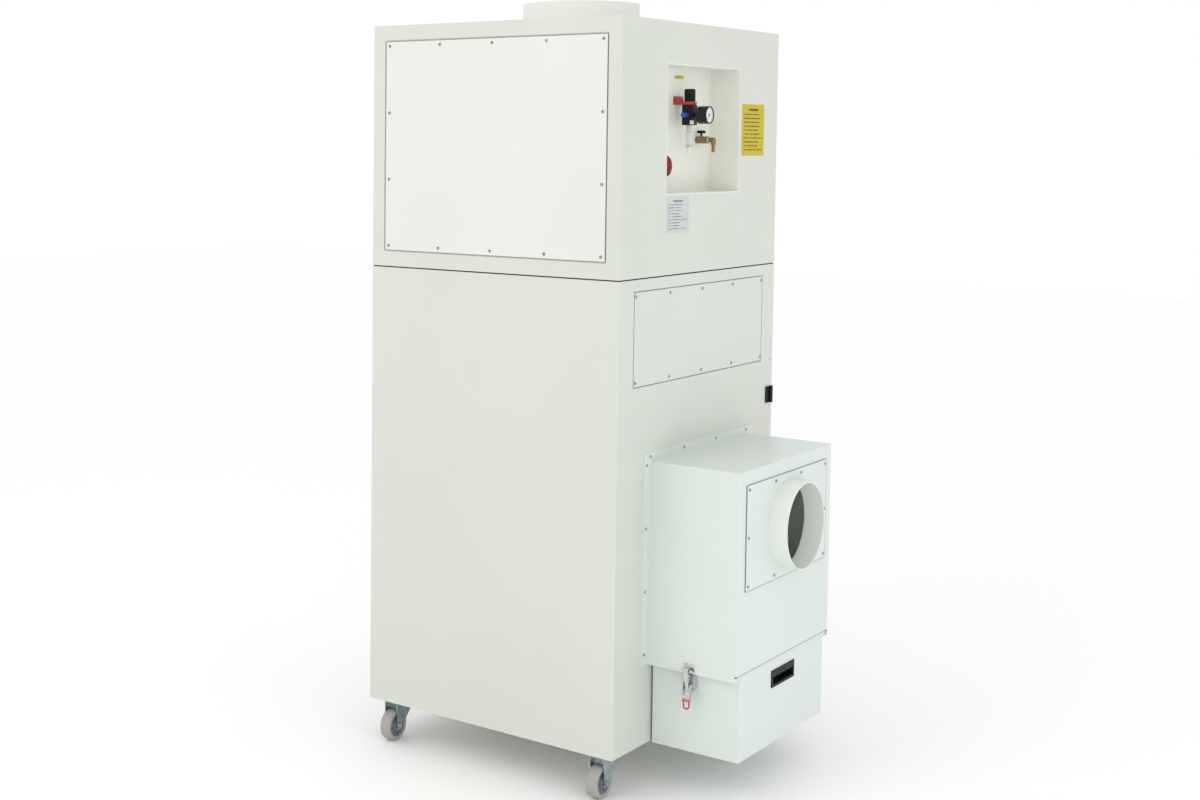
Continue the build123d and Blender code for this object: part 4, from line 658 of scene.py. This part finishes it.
gauge_low, gauge_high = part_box("pressure_gauge")
dial_centre = Vector((0, (gauge_low.y + gauge_high.y) / 2, (gauge_low.z + gauge_high.z) / 2))
needle_gap = 0.0002
dial_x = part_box("gauge_needle")[1].x + needle_gap
dial_radius = 0.0186
dial_thickness = 0.00015
mark_lift = 0.00012
mark_end = 0.0172
long_mark_start = 0.0132
short_mark_start = 0.0146
long_mark_half_width = 0.00035
short_mark_half_width = 0.00014
figure_height = 0.0038
figure_depth = 0.00004
figure_radius = 0.0105
figure_lift = 0.00014
scale_turn = 270
pane_set_in = 0.0010
round_steps = 64
enamel = Finish("white_dial_enamel")
enamel_tone = enamel.noise(90.0, 3.0)
enamel.feed(
    Base_Color=enamel.mix(enamel_tone, (0.86, 0.86, 0.85, 1), (0.80, 0.80, 0.79, 1)),
    Roughness=0.35 + enamel_tone * 0.15,
)
ink = Finish("black_dial_ink")
ink_tone = ink.noise(400.0, 2.0)
ink.feed(
    Base_Color=ink.mix(ink_tone, (0.008, 0.008, 0.008, 1), (0.03, 0.03, 0.03, 1)),
    Roughness=0.45 + ink_tone * 0.2,
)
ink.coat(nodes["gauge_needle"])


def dial_point(turn, radius, lift):
    """Place on the dial; `turn` is degrees clockwise from its lowest mark, seen from outside."""
    angle = radians(225 - turn)
    side = -cos(angle) * radius
    rise = sin(angle) * radius
    return Vector((dial_x - lift, dial_centre.y + side, dial_centre.z + rise))


shape = bmesh.new()
rim = circle(shape, (dial_x, dial_centre.y, dial_centre.z), dial_radius, round_steps)
face = shape.faces.new(rim)
pressed = bmesh.ops.extrude_face_region(shape, geom=[face])
lowered = [item for item in pressed["geom"] if isinstance(item, bmesh.types.BMVert)]
bmesh.ops.translate(shape, vec=(dial_thickness, 0, 0), verts=lowered)
piece("gauge_dial", shape, "cabinet", enamel, "gauge_case", smooth=False)

shape = bmesh.new()
for mark in range(0, 51):
    turn = mark * scale_turn / 50
    inner = long_mark_start if mark % 10 == 0 else short_mark_start
    wide = long_mark_half_width if mark % 10 == 0 else short_mark_half_width
    ends = [dial_point(turn, inner, mark_lift), dial_point(turn, mark_end, mark_lift)]
    across = (ends[1] - ends[0]).cross(Vector((1, 0, 0))).normalized() * wide
    corners = [
        shape.verts.new(ends[0] - across), shape.verts.new(ends[0] + across),
        shape.verts.new(ends[1] + across), shape.verts.new(ends[1] - across),
    ]
    shape.faces.new(corners)
piece("gauge_marks", shape, "cabinet", ink, "needle_black", smooth=False)

for number in range(6):
    figure = bpy.data.curves.new(f"gauge_number_{number * 2}", "FONT")
    figure.body = str(number * 2)
    figure.size = figure_height
    figure.align_x = "CENTER"
    figure.align_y = "CENTER"
    figure.extrude = figure_depth
    mark = bpy.data.objects.new(f"gauge_number_{number * 2}", figure)
    mark.matrix_world = (
        Matrix.Translation(dial_point(number * scale_turn / 5, figure_radius, figure_lift))
        @ Matrix(((0, 0, -1, 0), (-1, 0, 0, 0), (0, 1, 0, 0), (0, 0, 0, 1)))
    )
    bpy.context.scene.collection.objects.link(mark)
    ink.coat(mark)
    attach(mark, "cabinet")

pane = Finish("gauge_pane", IOR=1.5, Alpha=0.12)
pane_smear = pane.noise(60.0, 3.0)
pane.feed(
    Base_Color=pane.mix(pane_smear, (0.95, 0.96, 0.96, 1), (0.88, 0.89, 0.89, 1)),
    Roughness=0.04 + pane_smear * 0.05,
)
shape = bmesh.new()
pane_x = gauge_low.x + pane_set_in
rings = [
    circle(shape, (pane_x - lift, dial_centre.y, dial_centre.z), radius, round_steps)
    for radius, lift in ((0.0187, 0.0), (0.0125, 0.0003), (0.0062, 0.0004))
]
join_rings(shape, rings)
shape.faces.new(rings[-1])
piece("gauge_pane", shape, "cabinet", pane, "gauge_case")

# ---- Ball valve
# A turned brass valve with a hexagon nut, a white seal ring and a soldered elbow with a hose barb.
seal_from_end = 0.0345
seal_width = 0.0025
brass = Finish("turned_brass", Metallic=1.0)
valve_x = brass.axes()[0]
turning = brass.noise(260.0, 3.0, (8.0, 1.0, 1.0))
tarnish = brass.noise(120.0, 4.0)
seal_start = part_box("ball_valve")[1].x - seal_from_end
ring_part = (valve_x > seal_start) * (valve_x < seal_start + seal_width)
brass_tone = brass.mix(tarnish, (0.40, 0.26, 0.11, 1), (0.22, 0.14, 0.06, 1))
brass.feed(
    Base_Color=brass.mix(ring_part, brass_tone, (0.80, 0.79, 0.74, 1)),
    Metallic=1 - ring_part,
    Roughness=0.22 + turning * 0.15 + tarnish * 0.1 + ring_part * 0.2,
)
brass.bump(turning, 0.0002, 0.35)
brass.coat(nodes["ball_valve"])

# ---- Stop button, start button and lamp
# A red mushroom stop, a green start button and a red lamp lens, all glossy mouldings. Each stands
# in a black bezel that a nut holds behind the niche.


def gloss_moulding(name, colour, shaded):
    moulding = Finish(name, Specular_IOR_Level=0.12)
    tone = moulding.noise(120.0, 3.0)
    moulding.feed(Base_Color=moulding.mix(tone, colour, shaded), Roughness=0.22 + tone * 0.14)
    moulding.bump(moulding.noise(300.0, 2.0), 0.0002, 0.15)
    return moulding


# Painted shade: the stop's red is made dark, standing in for the niche's shade on it
gloss_moulding("stop_red", (0.23, 0.004, 0.006, 1), (0.18, 0.003, 0.005, 1)).coat(
    nodes["stop_button"]
)
gloss_moulding("start_green", (0.015, 0.25, 0.06, 1), (0.012, 0.20, 0.05, 1)).coat(
    nodes["start_button"]
)
gloss_moulding("red_lens", (0.55, 0.03, 0.02, 1), (0.45, 0.02, 0.02, 1)).coat(
    nodes["pilot_lamp"]
)

# ---- Labels
# Three thin printed films: a yellow notice, a silver data plate and a narrow yellow strip in the
# niche. Their print is only rows of plain bars.


def film(name, bottom, colour, ink_colour, rows, margin, head):
    """Printed film with uneven rows of bars between its margins; `bottom` and `head` are heights."""
    sheet = Finish(name, Specular_IOR_Level=0.2)
    east, north, height = sheet.axes()
    pitch = (head[1] - bottom) / rows
    row = (height - bottom) * (1 / pitch)
    stripe = (row % 1.0 > 0.34) * (row % 1.0 < 0.66)
    line_number = sheet.node("ShaderNodeMath", {"operation": "FLOOR"}, {0: row})
    across = sheet.node(
        "ShaderNodeCombineXYZ", {}, {0: north * 260.0, 1: line_number * 7.31, 2: 0.0}
    )
    letters = sheet.node(
        "ShaderNodeTexNoise", {}, {"Vector": across, "Scale": 1.0, "Detail": 2.0}, "Fac"
    )
    ends = sheet.node(
        "ShaderNodeTexWhiteNoise", {"noise_dimensions": "1D"}, {"W": line_number}, "Value"
    )
    inside = (north > margin[0] + ends * margin[2]) * (north < margin[1])
    body_rows = (height > bottom + pitch * 0.8) * (height < head[0])
    print_mask = stripe * (letters > 0.43) * inside * body_rows
    title = (height > head[0] + pitch * 0.2) * (height < head[1]) * (letters > 0.36)
    title = title * (abs(north - (margin[0] + margin[1]) / 2) < (margin[1] - margin[0]) * 0.26)
    mask = print_mask + title
    tone = sheet.noise(40.0, 3.0)
    faded = tuple(part * 0.93 for part in colour[:3]) + (1,)
    sheet.feed(
        Base_Color=sheet.mix(mask, sheet.mix(tone, colour, faded), ink_colour),
        Roughness=0.28 + tone * 0.12,
    )
    return sheet


def film_piece(name, low, high, finish, slot):
    """Film with rounded corners, standing on an X face between two corners."""
    shape = bmesh.new()
    radius = film_corner
    outline = []
    for y, z, start in (
        (high.y - radius, high.z - radius, 0), (low.y + radius, high.z - radius, 90),
        (low.y + radius, low.z + radius, 180), (high.y - radius, low.z + radius, 270),
    ):
        for step in range(5):
            turn = radians(start + step * 22.5)
            outline.append(shape.verts.new((low.x, y + radius * cos(turn), z + radius * sin(turn))))
    sheet = shape.faces.new(outline)
    pressed = bmesh.ops.extrude_face_region(shape, geom=[sheet])
    moved = [item for item in pressed["geom"] if isinstance(item, bmesh.types.BMVert)]
    bmesh.ops.translate(shape, vec=(high.x - low.x, 0, 0), verts=moved)
    made = piece(name, shape, "cabinet", finish, slot, smooth=False)
    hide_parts("labels")


cabinet_low, cabinet_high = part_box("upper_wrap")
middle_y = (cabinet_low.y + cabinet_high.y) / 2
cabinet_height = 1.650
film_thickness = 0.0004
film_corner = 0.003
base_z = cabinet_high.z - cabinet_height
wall_out = cabinet_low.x


def film_corners(out, middle, width, bottom, height):
    """Corners of a film on the wall at `out`; `middle` is from the cabinet's middle plane."""
    near = Vector((out - film_thickness, middle_y + middle - width / 2, base_z + bottom))
    far = Vector((out, middle_y + middle + width / 2, base_z + bottom + height))
    return near, far


low, high = film_corners(wall_out, middle=-0.2505, width=0.121, bottom=1.344, height=0.126)
notice = film(
    "yellow_notice", low.z, (0.56, 0.46, 0.004, 1), (0.10, 0.085, 0.01, 1), 12,
    (low.y + 0.008, high.y - 0.010, 0.030), (high.z - 0.018, high.z - 0.0105),
)
film_piece("notice_film", low, high, notice, "label")
low, high = film_corners(wall_out, middle=0.128, width=0.106, bottom=1.1665, height=0.0845)
plate = film(
    "silver_data_plate", low.z, (0.60, 0.62, 0.62, 1), (0.22, 0.23, 0.24, 1), 11,
    (low.y + 0.008, high.y - 0.008, 0.040), (high.z - 0.014, high.z - 0.0085),
)
film_piece("data_film", low, high, plate, "label")
niche_sheet = 0.002
niche_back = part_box("service_niche")[1].x - niche_sheet
low, high = film_corners(niche_back, middle=-0.012, width=0.044, bottom=1.526, height=0.008)
strip = film(
    "yellow_strip", low.z, (0.56, 0.46, 0.004, 1), (0.10, 0.085, 0.01, 1), 2,
    (low.y + 0.004, high.y - 0.004, 0.004), (high.z - 0.003, high.z - 0.001),
)
film_piece("air_film", low, high, strip, "label")

# ---- Filter cartridges
# Four hanging cartridges of pleated spun polyester, glued between a top flange and a steel end cap.
pleat_cloth = Finish("pleated_polyester", Sheen_Weight=0.25, Specular_IOR_Level=0.2)
fibres = pleat_cloth.noise(500.0, 4.0)
stain = pleat_cloth.noise(9.0, 5.0)
pleat_cloth.feed(
    Base_Color=pleat_cloth.mix(stain, (0.74, 0.74, 0.69, 1), (0.60, 0.59, 0.54, 1)),
    Roughness=0.8 + fibres * 0.15,
)
pleat_cloth.bump(fibres, 0.0004, 0.5)
cap_zinc = zinc_plate("cartridge_cap_zinc", (0.60, 0.62, 0.63, 1), (0.42, 0.43, 0.45, 1), 0.35)
filter_low, filter_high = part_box("filter_cartridges")
filter_middle = (filter_low + filter_high) / 2
pleats = 96
pleat_radius = 0.1185
pleat_depth = 0.012
spacing_x = 0.150
spacing_y = 0.175
media_foot = 0.012
media_head = 0.014
foot_cap = 0.013
head_cap = 0.015
cap_steps = 64
cap_radius = 0.1198
cap_flat = 0.1170
cap_edge = 0.0025
foot_radius = 0.0600
mouth_radius = 0.0850
for number, (east, north) in enumerate(((-1, -1), (-1, 1), (1, -1), (1, 1)), start=1):
    spot = Vector((filter_middle.x + east * spacing_x, filter_middle.y + north * spacing_y, 0))
    shape = bmesh.new()
    levels = [filter_low.z + media_foot, filter_high.z - media_head]
    folds = []
    for height in levels:
        folds.append([
            shape.verts.new((
                spot.x + (pleat_radius - pleat_depth * (step % 2)) * cos(pi * step / pleats),
                spot.y + (pleat_radius - pleat_depth * (step % 2)) * sin(pi * step / pleats),
                height,
            ))
            for step in range(2 * pleats)
        ])
    join_rings(shape, folds)
    media = piece(f"pleats_{number}", shape, "cabinet", pleat_cloth, "filter_media", smooth=False)
    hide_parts("filter_cartridges")
    shape = bmesh.new()
    for bottom, top in (
        (filter_low.z, filter_low.z + foot_cap), (filter_high.z - head_cap, filter_high.z),
    ):
        rings = [
            circle(shape, (spot.x, spot.y, height), radius, cap_steps, "Z")
            for radius, height in (
                (foot_radius, bottom), (cap_flat, bottom), (cap_radius, bottom + cap_edge),
                (cap_radius, top - cap_edge), (cap_flat, top), (mouth_radius, top),
            )
        ]
        join_rings(shape, rings)
        if bottom == filter_low.z:
            shape.faces.new(rings[0])
    caps = piece(f"cartridge_caps_{number}", shape, "cabinet", cap_zinc, "zinc")
    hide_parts("filter_cartridges")

# ---- Pulse tank, fan wheel and motor
# Inside the cabinets: a painted air tank with its pulse valves, a riveted sheet fan wheel and a
# finned motor, standing shaft down on its stool.


def machine_paint(name, colour, shaded, metal):
    paint = Finish(name, Metallic=metal)
    tone = paint.noise(30.0, 5.0)
    paint.feed(Base_Color=paint.mix(tone, colour, shaded), Roughness=0.4 + tone * 0.2)
    paint.bump(paint.noise(350.0, 2.0), 0.0004, 0.4)
    return paint


machine_paint("tank_grey", (0.20, 0.22, 0.24, 1), (0.15, 0.16, 0.18, 1), 0.0).coat(
    nodes["pulse_tank"]
)
machine_paint("motor_blue_grey", (0.09, 0.14, 0.18, 1), (0.06, 0.10, 0.13, 1), 0.0).coat(
    nodes["fan_motor"]
)
machine_paint("fan_sheet", (0.55, 0.57, 0.59, 1), (0.42, 0.44, 0.46, 1), 1.0).coat(
    nodes["impeller"]
)
